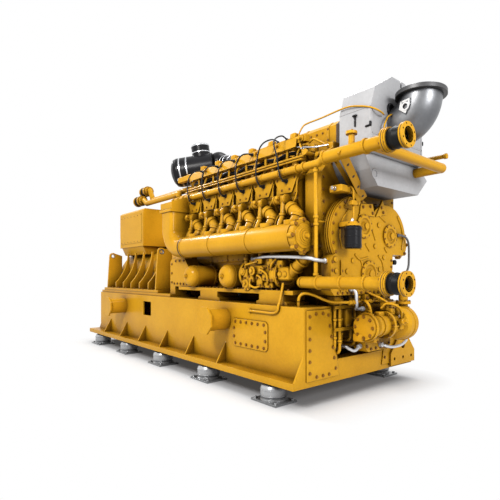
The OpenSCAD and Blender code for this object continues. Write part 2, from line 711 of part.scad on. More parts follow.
// Water pump: a flanged body across the engine, its volute and outlet, on the pan's front cover
module water_pump() color(yellow) {
    along(base_l, base_l + 190) polygon([[pump_block_y[0], pump_z - 300],
        [pump_block_y[0] + 60, pump_z - 360], [pump_block_y[1] - 60, pump_z - 360],
        [pump_block_y[1], pump_z - 300], [pump_block_y[1], rail_z],
        [pump_block_y[0], rail_z]]);
    at(pump_s) translate([0, pump_y, pump_z]) rotate([-90, 0, 0]) rotate_extrude($fn = 64)
        polygon([[0, 0], [150, 0], [150, 35], [90, 50], [90, 150], [125, 190], [125, 390],
            [170, 390], [170, 430], [125, 430], [125, 600], [195, 640], [215, 700], [215, 850],
            [190, 900], [120, 930], [120, 1000], [60, 1000], [60, 1070], [0, 1070]]);
    along(base_l + 189, pump_s) translate([-40, pump_z - 70]) square([240, 140]);
    at(pump_s) pipe([[0, pump_pipe_y, pump_z], [0, pump_pipe_y, rail_z + 60],
        [gear_s1 - pump_s, pump_pipe_y, rail_z + 60]], 120);
    at(pump_s) translate([0, pump_pipe_y, pump_z + 240]) cylinder(d = 190, h = 35);
}

/* ---- Exhaust, mixture and coolant above the engine ---- */

turbo_s = [base_l + 105, base_l + 563];
casing_half_w = 210;
casing_foot_w = 120;
casing_edge = 70;
casing_z = [crank_z + 1030, crank_z + 1780, crank_z + 2060];
casing_step_s = block_s0 + 844;
arm_n = 4;
arm_t = 60;
arm_z = crank_z + 1650;
arm_pitch = (block_s1 - block_s0 - 560) / (arm_n - 1);
gas_rail_y = 620;
gas_rail_size = [80, 90];
gas_rail_s = [block_s0 - 620, block_s1 - 100];
rail_y = [-gas_rail_y - gas_rail_size[0] / 2, -gas_rail_y + gas_rail_size[0] / 2];
module casing_outline(bottom, top) polygon([[-casing_foot_w, bottom], [casing_foot_w, bottom],
    [casing_half_w, bottom + 220], [casing_half_w, top - casing_edge],
    [casing_half_w - 80, top], [80 - casing_half_w, top], [-casing_half_w, top - casing_edge],
    [-casing_half_w, bottom + 220]]);
// Insulated exhaust casing in the V, higher where the air duct enters it, and the cross arms
// that carry the rails beside it
module exhaust_casing() color(yellow) {
    along(block_s0 + 60, casing_step_s) casing_outline(casing_z[0], casing_z[1]);
    along(casing_step_s, block_s1) casing_outline(casing_z[0], casing_z[2]);
    along(block_s1, turbo_s[0] - clear) casing_outline(housing_top, casing_z[2]);
    both_sides() for (i = [0:arm_n - 1]) rib_at(block_s0 + 200 + i * arm_pitch, arm_t) polygon([
        [rail_y[0], arm_z], [-casing_half_w - clear, arm_z - 70],
        [-casing_half_w - clear, arm_z + 60], [rail_y[0], arm_z + 60]]);
}

module rail_outline() translate([rail_y[0], arm_z + 60]) square(gas_rail_size);
air_bracket_s = [cooler_s[0] + 190, cooler_s[0] + 430];
air_bracket_y = [[-300, 120], [-120, 320]];
// Square gas rails beside the casing, and the brackets of the air filter on the cooler
module gas_rails() color(yellow) {
    both_sides() along(gas_rail_s[0], gas_rail_s[1]) rail_outline();
    difference() {
        for (i = [0, 1]) rib_at(air_bracket_s[i], 50) polygon([
            [air_bracket_y[i][0], cooler_z[1]], [air_bracket_y[i][1], cooler_z[1]],
            [air_bracket_y[i][1] - 40, air_z], [air_bracket_y[i][0] + 40, air_z]]);
        air_drum(clear);
    }
}

coolant_z = [crank_z - 93, crank_z + 1330];
coolant_s0 = [base_l - 180, front_s1 + 160];
coolant_flange_t = 44;
bellows_l = 170;
coolant_s1 = overall_l;
coolant_end = coolant_s1 - 2 * coolant_flange_t - bellows_l;
coolant_bore_d = coolant_d - 10;
bolt_n = 8;
bolt_hole_d = 18;
thin_d = 90;
thin_z = crank_z + 1290;
stub_w = 54;
branch_s = coolant_end - 430;
cross_s = coolant_end - 130;
cross_d = 120;
cross_y = 480;
port_k = 0.9;
port_d = 110;
port_l = 330;
// Station, distance from the centre plane, height, drop and run over the cooler of each port
cooler_port = [[cooler_s[0] - 1756, 520, cooler_z[1] + 150, 90, 150],
    [cooler_s[0] - 1713, 400, cooler_z[1] + 370, 235, 350]];
// Place at the flange of a cooler water port, which looks to the alternator end
module at_port(p) at(p[0]) translate([0, -p[1], p[2]]) children();
module port_pipe(p) at_port(p) pipe([
    [(2 * coolant_flange_t + bellows_l) * port_k - 1, 0, 0], [port_l, 0, 0],
    [port_l + 150, 0, -p[3]], [cooler_s[0] + p[4] - p[0], 0, -p[3]],
    [cooler_s[0] + p[4] - p[0], 0, cooler_z[1] - p[2]]], port_d);
module at_coolant(k) translate([0, -coolant_y, coolant_z[k]]) children();
module coolant_line(k) at_coolant(k) {
    along(coolant_s0[k], coolant_end) circle(d = coolant_d);
    along(coolant_end, coolant_end + coolant_flange_t) circle(d = coolant_flange_d);
}
// Coolant lines of the near side: the lower inlet, the upper outlet with its collecting
// pipe over the heads, and the crossover from the far bank
module coolant_pipes() color(yellow) {
    coolant_line(0);
    coolant_line(1);
    at(coolant_s0[0]) pipe([[1, -coolant_y, coolant_z[0]], [0, -coolant_y, coolant_z[0]],
        [0, -housing_low_w, coolant_z[0]]], coolant_d);
    at(coolant_s0[1]) pipe([[-cyl_pitch * (cyl_n - 1) - (coolant_s0[1] - bank_end_s), -coolant_y,
        thin_z], [-80, -coolant_y, thin_z], [1, -coolant_y, coolant_z[1]]], thin_d);
    for (i = [0:cyl_n - 1]) at(cyl_s + i * cyl_pitch)
        translate([-stub_w / 2, -coolant_y, funnel_z[1] + clear])
            cube([stub_w, coolant_y - funnel_y[1] + 50, thin_z - funnel_z[1]]);
    at(branch_s) at_coolant(1) {
        cylinder(d = 70, h = 170);
        translate([0, 0, 170]) cylinder(d = 125, h = 30);
    }
    for (p = cooler_port) port_pipe(p);
    for (p = cooler_port) at_port(p) translate([(coolant_flange_t + bellows_l) * port_k, 0, 0])
        rotate([0, 90, 0]) cylinder(d = coolant_flange_d * port_k, h = coolant_flange_t * port_k);
    at(cross_s) pipe([[0, -coolant_y, coolant_z[1] - 15], [0, cross_y, coolant_z[1] - 15],
        [base_l + 506 + clear - cross_s, cross_y, coolant_z[1] - 15]], cross_d);
}
// Rubber bellows with its convolution, closed behind; it opens towards the loose flange
module bellows_ring() difference() {
    rotate_extrude($fn = 64) polygon([[0, 0], [85, 0], [100, 30], [112, bellows_l / 2],
        [100, bellows_l - 30], [85, bellows_l], [0, bellows_l]]);
    translate([0, 0, 10]) cylinder(d = coolant_bore_d - 10, h = bellows_l);
}
module bellows() color(black) {
    for (k = [0, 1]) at_coolant(k) at(coolant_end + coolant_flange_t) rotate([0, 90, 0])
        bellows_ring();
    for (p = cooler_port) at_port(p) translate([(coolant_flange_t + bellows_l) * port_k, 0, 0])
        rotate([0, -90, 0]) scale(port_k) bellows_ring();
}
// Loose flange with its ring of bolt holes, where the site pipe is fastened
module flange_ring() rotate([0, 90, 0]) difference() {
    cylinder(d = coolant_flange_d, h = coolant_flange_t);
    translate([0, 0, -1]) cylinder(d = coolant_bore_d, h = coolant_flange_t + 2);
    for (i = [0:bolt_n - 1]) rotate((i + 0.5) * 360 / bolt_n)
        translate([coolant_pcd / 2, 0, -1]) cylinder(d = bolt_hole_d, h = coolant_flange_t + 2);
}
module outlet_flanges() color(yellow) {
    for (k = [0, 1]) at_coolant(k) at(coolant_s1 - coolant_flange_t) flange_ring();
    for (p = cooler_port) at_port(p) scale(port_k) flange_ring();
}

turbo_half_w = 553;
turbo_z = [crank_z + 1400, crank_z + 1910, crank_z + 2145, crank_z + 2358];
turbo_knee = 478;
turbo_ridge = 140;
turbo_slot = [40, 78];
tray_z = crank_z + 1040;
tray_s1 = base_l + 506;
// Folded sheet cover over the two turbochargers, with a slot where its halves meet
module turbo_cover() color(grey) along(turbo_s[0], turbo_s[1]) polygon([
    [-turbo_half_w, turbo_z[0]], [turbo_half_w, turbo_z[0]], [turbo_half_w, turbo_z[1]],
    [turbo_knee, turbo_z[2]], [turbo_ridge, turbo_z[3]], [turbo_slot[1], turbo_z[3]],
    [turbo_slot[1], turbo_z[3] - 110], [turbo_slot[0], turbo_z[3] - 110],
    [turbo_slot[0], turbo_z[3]], [-turbo_ridge, turbo_z[3]], [-turbo_knee, turbo_z[2]],
    [-turbo_half_w, turbo_z[1]]]);
module turbo_tray() color(grey) along(front_s1, tray_s1) polygon([
    [-600, turbo_z[0]], [-490, tray_z + 180], [-340, tray_z], [550, tray_z],
    [780, tray_z + 220], [680, tray_z + 290], [640, turbo_z[0]]]);

exhaust_d = 480;
exhaust_bend_r = 280;
exhaust_z = crank_z + 1790;
exhaust_rim_d = 580;
exhaust_rim_t = 40;
exhaust_bore_d = exhaust_d - 20;
exhaust_lead = 20;
exhaust_eye = [exhaust_bend_r - 30, exhaust_z + 110];
// Outlet bend of the turbochargers, opening upwards, with a holed lifting plate on its side
module exhaust_elbow() color(silver) at(turbo_s[1]) {
    translate([0, 0, exhaust_z]) rotate([0, 90, 0]) cylinder(d = exhaust_d, h = exhaust_lead);
    translate([exhaust_lead, 0, exhaust_z + exhaust_bend_r]) rotate([90, 0, 0])
        rotate([0, 0, -90]) rotate_extrude(angle = 90) translate([exhaust_bend_r, 0])
            difference() {
                circle(d = exhaust_d);
                circle(d = exhaust_bore_d);
            }
    translate([exhaust_lead + exhaust_bend_r, 0, exhaust_z + exhaust_bend_r]) difference() {
        cylinder(d = exhaust_rim_d, h = exhaust_rim_t);
        translate([0, 0, -1]) cylinder(d = exhaust_bore_d, h = exhaust_rim_t + 2);
    }
    outwards(exhaust_d / 2 - 8, exhaust_d / 2 + 14) difference() {
        polygon([[exhaust_eye[0] - 80, exhaust_eye[1] - 20], [exhaust_eye[0], exhaust_eye[1] - 85],
            [exhaust_eye[0] + 60, exhaust_eye[1] + 10], [exhaust_eye[0] + 60, exhaust_eye[1] + 80],
            [exhaust_eye[0] - 60, exhaust_eye[1] + 70]]);
        translate(exhaust_eye) circle(d = 62);
    }
}

air_s = cooler_s[0] - 110;
air_y = -450;
air_z = crank_z + 2010;
air_d = 560;
air_l = 780;
air_axis = [0.66, 0.72, 0.16];
snorkel_d = 350;
snorkel_h = 465;
snorkel_l = 560;
elbow_d = 430;
air_duct_d = 270;
air_duct_z = casing_z[1] + 150;
elbow_pos = [air_s + 527, air_y + 672, air_z + 225];
// Turn to the air filter's axis, which lies across the cooler
module on_air_axis() at(air_s) translate([0, air_y, air_z])
    rotate([0, acos(air_axis[2] / norm(air_axis)), atan2(air_axis[1], air_axis[0])]) children();
module air_drum(grow) on_air_axis() translate([0, 0, -grow]) rotate_extrude($fn = 96) polygon([
    [0, -75], [110, -65], [200, -35], [air_d / 2 - 20, 10], [air_d / 2 + grow, 70],
    [air_d / 2 + grow, air_l + 2 * grow], [0, air_l + 2 * grow]]);
// Air filter drum with its rain hood, and the elbow and duct to the casing
module air_filter() color(black) {
    air_drum(0);
    on_air_axis() translate([0, 0, snorkel_l]) rotate([0, -90, 0]) difference() {
        cylinder(d = snorkel_d, h = snorkel_h);
        translate([0, 0, snorkel_h - 90]) cylinder(d = snorkel_d - 30, h = 91);
    }
    at(elbow_pos[0]) translate([0, elbow_pos[1], elbow_pos[2]]) sphere(d = elbow_d);
    difference() {
        at(elbow_pos[0]) pipe([[0, elbow_pos[1], elbow_pos[2]],
            [430, elbow_pos[1] - 20, elbow_pos[2] - 80],
            [casing_step_s - elbow_pos[0] - 160, 0, air_duct_z],
            [casing_step_s - elbow_pos[0] + 20, 0, air_duct_z]], air_duct_d);
        along(casing_step_s, block_s1) square([2 * air_duct_d, 2 * casing_z[2]], center = true);
    }
}

brace_w = 70;
foot_block_y = [633, 1249];
foot_block_z = [foot_h + 30, foot_h + 430];
// Holed brace under the upper coolant line, and the bolted plate at the far front corner
module front_bracket() color(yellow) {
    rib_at(front_s1 + 185, 12) hull() {
        translate([-coolant_y + 190, coolant_z[1] - 10]) circle(d = brace_w);
        translate([-300, tray_z - 120]) circle(d = brace_w);
    }
    along(gear_s1, front_s1 + 186) translate([-345, tray_z - 165]) square([90, 90]);
    along(front_s1 + 185, front_s1 + 225) translate([-coolant_y + coolant_d / 2 + clear,
        coolant_z[1] - 25]) square([120, 50]);
    rib_at(front_s1 + panel_t, 30) difference() {
        polygon([[foot_block_y[0], foot_block_z[0]], [foot_block_y[1], foot_block_z[0]],
            [foot_block_y[1], foot_block_z[0] + 170], [foot_block_y[1] - 190, foot_block_z[1]],
            [foot_block_y[0] + 190, foot_block_z[1]], [foot_block_y[0], foot_block_z[0] + 170]]);
        for (y = [foot_block_y[0] + 90, (foot_block_y[0] + foot_block_y[1]) / 2,
            foot_block_y[1] - 90]) translate([y, foot_block_z[0] + 90]) circle(d = 44);
        translate([(foot_block_y[0] + foot_block_y[1]) / 2, foot_block_z[0] + 260])
            circle(d = 90);
    }
}

riser_d = 50;
hose_d = 42;
// Small service pipes and hoses: the riser between the coolant lines, the oil hose along the
// block, the drain hoses of the pump and the hooked hose of the gear case
module small_pipes() color(yellow) {
    at(front_s1 + 40) translate([0, -coolant_y, coolant_z[0] + coolant_d / 2])
        cylinder(d = riser_d, h = thin_z - thin_d / 2 - coolant_z[0] - coolant_d / 2);
    at(front_s1) difference() {
        pipe([[-1150, -cooler_core_y - 90, cooler_top_z + 80], [-780, -970, cooler_top_z + 100],
            [-380, -985, cooler_top_z + 80], [-30, -975, crank_z + 195],
            [75, -900, crank_z + 165], [75, gear_plate_y + 60, crank_z + 160]], hose_d);
        translate([-1500, -cooler_core_y - 110, cooler_top_z - 60])
            cube([1500 - 650, 200, 190]);
        translate([0, gear_plate_y, rail_z]) cube([150, 200, 600]);
    }
    at(front_s1) {
        pipe([[block_s1 + 60 - front_s1, -380, pump_z - 270], [60, -380, pump_z - 270],
            [115, -330, pump_z - 330], [115, -240, pump_z - 330],
            [115, -200, pump_z - 280], [115, pump_block_y[0], pump_z - 280]], hose_d);
        pipe([[190, 150, pump_z - 290], [260, 150, pump_z - 290], [280, 250, pump_z - 330],
            [280, 520, pump_z - 330], [240, 760, pump_z - 240],
            [panel_t, 760, pump_z - 240]], hose_d);
        pipe([[150, -409, rail_z + 70], [240, -409, rail_z + 70], [240, -390, rail_z - 140],
            [160, -330, rail_z - 180], [160, pump_block_y[0], rail_z - 180]], hose_d);
        difference() {
            pipe([[140, gear_y + 220, gear_z + 50], [205, gear_y + 230, gear_z + 50],
                [205, gear_y + 380, gear_z + 25], [205, gear_y + 450, gear_z - 65],
                [200, gear_y + 456, gear_z - 395], [120, gear_y + 420, gear_z - 515],
                [80, gear_low_y - 40, gear_z - 545]], 30);
            at(-x_rear) rotate([90, 0, 90]) linear_extrude(gear_s1 - front_s1) gear_outline();
        }
    }
}

lead_d = 24;
lead_tilt = 8;
lead_foot = [75, funnel_z[1] - 65];
lead_out = coolant_y + thin_d / 2 + 28 - funnel_y[1];
lead_looped = cyl_n - 2;
rail_mid_z = arm_z + 60 + gas_rail_size[1] / 2;
loop_r = (funnel_y[1] + lead_out - gas_rail_y) / 2;
swing_r = funnel_y[1] + lead_out - gas_rail_y - gas_rail_size[0] / 2;
// Piece of a lead in its own plane: u is outwards and v is up
module lead_arc(u, v, r, a0, a1) translate([u, v, 0]) rotate(a0)
    rotate_extrude(angle = a1 - a0) translate([r, 0]) circle(d = lead_d, $fn = 16);
module lead_run(u, v0, v1) translate([u, v0, 0]) rotate([-90, 0, 0])
    cylinder(d = lead_d, h = v1 - v0, $fn = 16);
// Ignition lead of one cylinder: from the rail, over the coolant line, to the rocker cover;
// the last two loop high over the rail
module lead(i) at(cyl_s + i * cyl_pitch) difference() {
    translate([lead_foot[0], -funnel_y[1], lead_foot[1]]) rotate([0, -lead_tilt, 0])
        rotate([90, 0, -90]) {
            lead_arc(0, lead_out, lead_out, -90, 0);
            if (i < lead_looped) {
                lead_run(lead_out, lead_out, rail_mid_z - lead_foot[1] - swing_r);
                lead_arc(lead_out - swing_r, rail_mid_z - lead_foot[1] - swing_r, swing_r, 0, 90);
            } else {
                lead_run(lead_out, lead_out, arm_z + 170 - lead_foot[1]);
                lead_arc(lead_out - loop_r, arm_z + 170 - lead_foot[1], loop_r, 0, 180);
                lead_run(lead_out - 2 * loop_r, rail_mid_z - lead_foot[1],
                    arm_z + 170 - lead_foot[1]);
            }
        }
    translate([-500, rail_y[0], arm_z + 60]) cube([1000, gas_rail_size[0], gas_rail_size[1]]);
}
module ignition_leads() color(black) both_sides() for (i = [0:cyl_n - 1]) lead(i);

girder_near();
girder_far();
cross_beams();
base_floor();
flange_near();
flange_far();
flange_rear();
end_panels();
side_covers();
trunnions();
isolators();
alternator_body();
alternator_fins();
alternator_feet();
terminal_box();
coupling_housing();
engine_mounts();
oil_pan();
crankcase();
heads_near();
heads_far();
ducts_near();
ducts_far();
mixture_tubes();
mixture_cooler();
mixture_elbows();
front_housing();
gear_case();
gear_covers();
oil_canister();
oil_filters();
oil_cooler();
water_pump();
exhaust_casing();
gas_rails();
coolant_pipes();
bellows();
outlet_flanges();
turbo_cover();
turbo_tray();
exhaust_elbow();
air_filter();
front_bracket();
small_pipes();
ignition_leads();
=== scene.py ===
import math

import bpy
import numpy as np
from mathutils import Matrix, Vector


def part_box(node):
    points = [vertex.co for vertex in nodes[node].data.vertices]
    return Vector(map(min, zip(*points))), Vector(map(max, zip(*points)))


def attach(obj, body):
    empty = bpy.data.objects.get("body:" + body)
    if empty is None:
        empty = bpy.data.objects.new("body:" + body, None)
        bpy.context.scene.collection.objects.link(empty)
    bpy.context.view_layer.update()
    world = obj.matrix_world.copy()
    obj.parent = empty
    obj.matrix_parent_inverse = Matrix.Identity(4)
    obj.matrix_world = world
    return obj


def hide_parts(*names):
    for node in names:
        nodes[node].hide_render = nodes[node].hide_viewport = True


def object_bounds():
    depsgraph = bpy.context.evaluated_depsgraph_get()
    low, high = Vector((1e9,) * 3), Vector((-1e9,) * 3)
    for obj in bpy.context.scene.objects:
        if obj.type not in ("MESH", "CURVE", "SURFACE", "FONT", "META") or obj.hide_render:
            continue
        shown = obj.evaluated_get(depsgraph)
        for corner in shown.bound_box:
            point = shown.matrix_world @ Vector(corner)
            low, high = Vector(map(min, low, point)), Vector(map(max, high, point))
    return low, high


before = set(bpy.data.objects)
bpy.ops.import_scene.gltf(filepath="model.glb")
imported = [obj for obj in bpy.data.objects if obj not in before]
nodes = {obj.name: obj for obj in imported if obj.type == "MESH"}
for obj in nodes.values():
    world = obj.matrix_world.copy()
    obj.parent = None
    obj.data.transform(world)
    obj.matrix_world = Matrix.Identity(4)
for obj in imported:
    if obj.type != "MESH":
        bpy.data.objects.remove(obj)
cad_low, cad_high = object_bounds()
scene = bpy.context.scene

# ---- Camera ----
# A level camera at eye height, off the near front corner, with the frame a little off centre.
# Because it is level and only shifted, upright edges stay upright in the picture.
camera_data = bpy.data.cameras.new("camera")
camera_data.lens = 30.27
camera_data.sensor_width = 36.0
camera_data.shift_x = -0.06
camera_data.shift_y = 0.0515
camera = bpy.data.objects.new("camera", camera_data)
camera.location = (6.222, -4.478, 1.535)
camera.rotation_euler = (math.radians(90.0), 0.0, math.radians(48.14))
scene.collection.objects.link(camera)
scene.camera = camera

# ---- Light, background and floor ----
# A white studio: a key light from the near side, softer ones from above, from the free end and
# over the far end of the frame, and a pale floor that fades into the background. Near the set
# the floor is painted grey as painted shadow.
scene.view_settings.view_transform = "Standard"
white = (1.0, 1.0, 1.0)


def area_light(name, place, aim, size, power, color=white):
    """A square soft light at place that looks at aim."""
    data = bpy.data.lights.new(name, "AREA")
    data.shape = "SQUARE"
    data.size = size
    data.energy = power
    data.color = color
    lamp = bpy.data.objects.new(name, data)
    lamp.location = place
    lamp.rotation_euler = (Vector(aim) - Vector(place)).to_track_quat("-Z", "Y").to_euler()
    scene.collection.objects.link(lamp)


area_light("key_light", (3.6, -8.2, 7.2), (0.8, -0.5, 1.6), 2.4, 710.0, (1.0, 0.98, 0.95))
area_light("rim_light", (-7.5, -2.0, 7.8), (0.5, -1.0, 2.2), 1.3, 450.0)
area_light("end_light", (10.5, -1.5, 4.5), (3.2, 0.0, 1.8), 2.4, 370.0)
area_light("top_light", (1.0, 1.5, 9.0), (0.0, 0.0, 2.0), 4.0, 330.0)


def add_node(tree, kind, sockets, **properties):
    """One shader node. Each socket gets a value, or a link from a socket or a node's first
    output."""
    node = tree.nodes.new(kind)
    for key, value in properties.items():
        setattr(node, key, value)
    for key, value in sockets.items():
        socket = node.inputs[key]
        if isinstance(value, bpy.types.Node):
            tree.links.new(value.outputs[0], socket)
        elif isinstance(value, bpy.types.NodeSocket):
            tree.links.new(value, socket)
        else:
            socket.default_value = (*value, 1.0) if socket.type == "RGBA" else value
    return node


world = bpy.data.worlds.new("studio")
scene.world = world
world.use_nodes = True
sky = world.node_tree
sky.nodes.clear()
rays = add_node(sky, "ShaderNodeLightPath", {}).outputs
seen = add_node(sky, "ShaderNodeMath", {0: rays["Is Camera Ray"], 1: rays["Is Transmission Ray"]},
    operation="MAXIMUM")
shown = add_node(sky, "ShaderNodeMath", {0: seen, 1: rays["Is Glossy Ray"]}, operation="MAXIMUM")
dim_sky = add_node(sky, "ShaderNodeBackground", {"Color": (0.82, 0.83, 0.85), "Strength": 0.21})
white_sky = add_node(sky, "ShaderNodeBackground", {"Color": white, "Strength": 1.0})
mixed_sky = add_node(sky, "ShaderNodeMixShader", {0: shown, 1: dim_sky, 2: white_sky})
add_node(sky, "ShaderNodeOutputWorld", {"Surface": mixed_sky})


def new_material(name):
    """An empty node material and its tree."""
    made = bpy.data.materials.new(name)
    made.use_nodes = True
    made.node_tree.nodes.clear()
    return made, made.node_tree


floor_half = 40.0
floor_mesh = bpy.data.meshes.new("floor")
floor_mesh.from_pydata([(-floor_half, -floor_half, 0.0), (floor_half, -floor_half, 0.0),
        (floor_half, floor_half, 0.0), (-floor_half, floor_half, 0.0)], [], [(0, 1, 2, 3)])
floor = bpy.data.objects.new("floor", floor_mesh)
scene.collection.objects.link(floor)
floor_paint, tree = new_material("floor_paint")
floor_mesh.materials.append(floor_paint)
reach = add_node(tree, "ShaderNodeTexCoord", {}).outputs["Object"]
for operation, value in (("ADD", (0.625, 0.0, 0.0)), ("ABSOLUTE", (0.0, 0.0, 0.0)),
        ("SUBTRACT", (3.3, 1.0, 0.0)), ("MAXIMUM", (0.0, 0.0, 0.0))):
    reach = add_node(tree, "ShaderNodeVectorMath", {0: reach, 1: value}, operation=operation)
reach = add_node(tree, "ShaderNodeVectorMath", {0: reach}, operation="LENGTH")
fade = add_node(tree, "ShaderNodeMapRange",
    {"Value": reach.outputs["Value"], "From Min": 0.0, "From Max": 0.85, "To Min": 0.05})
# Painted shadow: the floor is tinted dark grey where ambient occlusion finds the set close by.
floor_shade_ao = add_node(tree, "ShaderNodeAmbientOcclusion", {"Distance": 0.6}, samples=8)
under = add_node(tree, "ShaderNodeMapRange",
    {"Value": floor_shade_ao.outputs["AO"], "From Min": 0.35, "From Max": 0.9})
painted_floor_shadow = add_node(tree, "ShaderNodeMix", {0: under, 6: (0.34, 0.34, 0.355), 7: (0.96, 0.96, 0.97)},
    data_type="RGBA")
matt = add_node(tree, "ShaderNodeBsdfDiffuse", {"Color": painted_floor_shadow.outputs[2]})
glow = add_node(tree, "ShaderNodeEmission", {"Strength": 1.0})
faded = add_node(tree, "ShaderNodeMixShader", {0: fade, 1: matt, 2: glow})
add_node(tree, "ShaderNodeOutputMaterial", {"Surface": faded})

# ---- Base frame ----
# Two plate girders with cross beams, floor plate, flanges and bolted covers, welded up and
# sprayed in yellow enamel: a little uneven in tone and slightly orange-peeled. Its edges are
# painted paler, partly as wear and partly as painted highlight, and its corners, recesses and
# downward faces are painted darker as painted shade.
group = bpy.data.node_groups.new("surface_play", "ShaderNodeTree")
for name, low_value, high_value, start in (("Grain", 0.1, 200.0, 30.0), ("Radius", 0.0, 0.1, 0.008),
        ("Depth", 0.01, 2.0, 0.25)):
    socket = group.interface.new_socket(name, in_out="INPUT", socket_type="NodeSocketFloat")
    socket.min_value = low_value
    socket.max_value = high_value
    socket.default_value = start
for name in ("Tone", "Speck", "Edge", "Corner", "Height"):
    group.interface.new_socket(name, in_out="OUTPUT", socket_type="NodeSocketFloat")
group.interface.new_socket("Normal", in_out="OUTPUT", socket_type="NodeSocketVector")
entry = add_node(group, "NodeGroupInput", {}).outputs
place = add_node(group, "ShaderNodeTexCoord", {}).outputs["Object"]
broad = add_node(group, "ShaderNodeTexNoise",
    {"Vector": place, "Scale": 1.7, "Detail": 5.0, "Roughness": 0.62})
fine = add_node(group, "ShaderNodeTexNoise", {"Vector": place, "Scale": entry["Grain"], "Detail": 3.0})
peel = add_node(group, "ShaderNodeTexNoise", {"Vector": place, "Scale": 160.0, "Detail": 1.0})
# Edges, where the bevelled normal leaves the true one, are painted paler: partly wear, partly painted
# highlight.
soft = add_node(group, "ShaderNodeBevel", {"Radius": entry["Radius"]}, samples=4)
facing = add_node(group, "ShaderNodeNewGeometry", {}).outputs["Normal"]
same = add_node(group, "ShaderNodeVectorMath", {0: soft, 1: facing}, operation="DOT_PRODUCT")
# Painted shade: ambient occlusion darkens corners and recesses, and faces that point down are darkened
# too.
nook = add_node(group, "ShaderNodeAmbientOcclusion", {"Distance": entry["Depth"]}, samples=8)
lean = add_node(group, "ShaderNodeSeparateXYZ", {0: facing})
tone, edge, corner, below = (
    add_node(group, "ShaderNodeMapRange",
        {"Value": value, "From Min": low, "From Max": high, "To Max": top})
    for value, low, high, top in ((broad, 0.32, 0.68, 1.0), (same.outputs["Value"], 0.995, 0.8, 1.0),
        (nook.outputs["AO"], 0.93, 0.34, 1.0), (lean.outputs["Z"], -0.25, -0.9, 0.55)))
painted_shade = add_node(group, "ShaderNodeMath", {0: corner, 1: below}, operation="MAXIMUM")
height = add_node(group, "ShaderNodeMath", {0: fine, 1: 0.5, 2: peel}, operation="MULTIPLY_ADD")
add_node(group, "NodeGroupOutput",
    {"Tone": tone, "Speck": fine, "Edge": edge, "Corner": painted_shade, "Height": height, "Normal": soft})


def blend_colors(tree, share, first, second, kind="MIX"):
    """Color output that goes from first to second as share goes from 0 to 1."""
    return add_node(tree, "ShaderNodeMix", {0: share, 6: first, 7: second}, data_type="RGBA",
        blend_type=kind).outputs[2]


def value_range(tree, value, low, high):
    """Node whose number goes from low to high as value goes from 0 to 1."""
    return add_node(tree, "ShaderNodeMapRange", {"Value": value, "To Min": low, "To Max": high})


def finish(name, deep, pale, painted_shade_color, wear_and_highlight, rough, metal=0.0, coat=0.0, grain=30.0, bump=0.15,
        radius=0.008, edge_share=0.35, painted_shade_share=0.9, depth=0.3, gloss=0.5):
    """A worn surface, deep to pale by its tone. Its edges are painted paler, partly as wear and
    partly as painted highlight, and its corners and downward faces darker as painted shade."""
    made, tree = new_material(name)
    play = add_node(tree, "ShaderNodeGroup", {}, node_tree=bpy.data.node_groups["surface_play"])
    for key, value in (("Grain", grain), ("Radius", radius), ("Depth", depth)):
        play.inputs[key].default_value = value
    play = play.outputs
    color = blend_colors(tree, play["Tone"], deep, pale)
    color = blend_colors(tree, 1.0, color, value_range(tree, play["Speck"], 0.9, 1.1), "MULTIPLY")
    # Paler edges, partly wear and partly painted highlight, then painted shade in corners and on
    # downward faces.
    color = blend_colors(tree, value_range(tree, play["Edge"], 0.0, edge_share), color, wear_and_highlight)
    color = blend_colors(tree, value_range(tree, play["Corner"], 0.0, painted_shade_share), color, painted_shade_color)
    relief = add_node(tree, "ShaderNodeBump",
        {"Strength": bump, "Distance": 0.002, "Height": play["Height"], "Normal": play["Normal"]})
    shader = add_node(tree, "ShaderNodeBsdfPrincipled",
        {"Base Color": color, "Metallic": metal, "Coat Weight": coat, "Coat Roughness": 0.12,
            "Specular IOR Level": gloss, "Normal": relief,
            "Roughness": value_range(tree, play["Speck"], *rough)})
    add_node(tree, "ShaderNodeOutputMaterial", {"Surface": shader})
    return made


def coat_nodes(made, *names):
    """Gives CAD nodes their material in every slot."""
    for name in names:
        for slot in nodes[name].material_slots:
            slot.material = made


engine_paint = finish("engine_paint", (0.66, 0.325, 0.013), (0.75, 0.385, 0.018), (0.055, 0.021, 0.001),
    (0.92, 0.54, 0.05), (0.24, 0.38), gloss=0.06, depth=0.4, coat=0.08)
# The bolts are enamelled with the set; their deep brown here is painted shade, so that they read as dark
# dots.
bolt_shade_paint = finish("bolt_shade_paint", (0.26, 0.105, 0.004), (0.34, 0.14, 0.006), (0.026, 0.01, 0.001),
    (0.56, 0.3, 0.04), (0.3, 0.45), radius=0.002, gloss=0.3)
coat_nodes(engine_paint, "girder_near", "girder_far", "cross_beams", "base_floor", "flange_near",
    "flange_far", "flange_rear", "end_panels", "side_covers", "trunnions")


front, near, up = (1.0, 0.0, 0.0), (0.0, -1.0, 0.0), (0.0, 0.0, 1.0)
back, far, down = (-1.0, 0.0, 0.0), (0.0, 1.0, 0.0), (0.0, 0.0, -1.0)
flip = np.array([1.0, -1.0, 1.0])


def from_end(corners):
    """Corners of a CAD box, with X measured from the alternator end of the frame, as it is in
    all shapes here."""
    return np.array(corners) - [cad_low[0], 0.0, 0.0]


def grid_faces(rings, sides):
    """Quads of a stack of closed rings, then the first ring's cap and the last ring's cap."""
    ring = np.arange(rings - 1)[:, None] * sides
    side = np.arange(sides)[None, :]
    after = (side + 1) % sides
    quads = np.stack([ring + side, ring + after, ring + sides + after, ring + sides + side],
        axis=-1).reshape(-1, 4)
    return [quads, side[:, ::-1], (rings - 1) * sides + side]


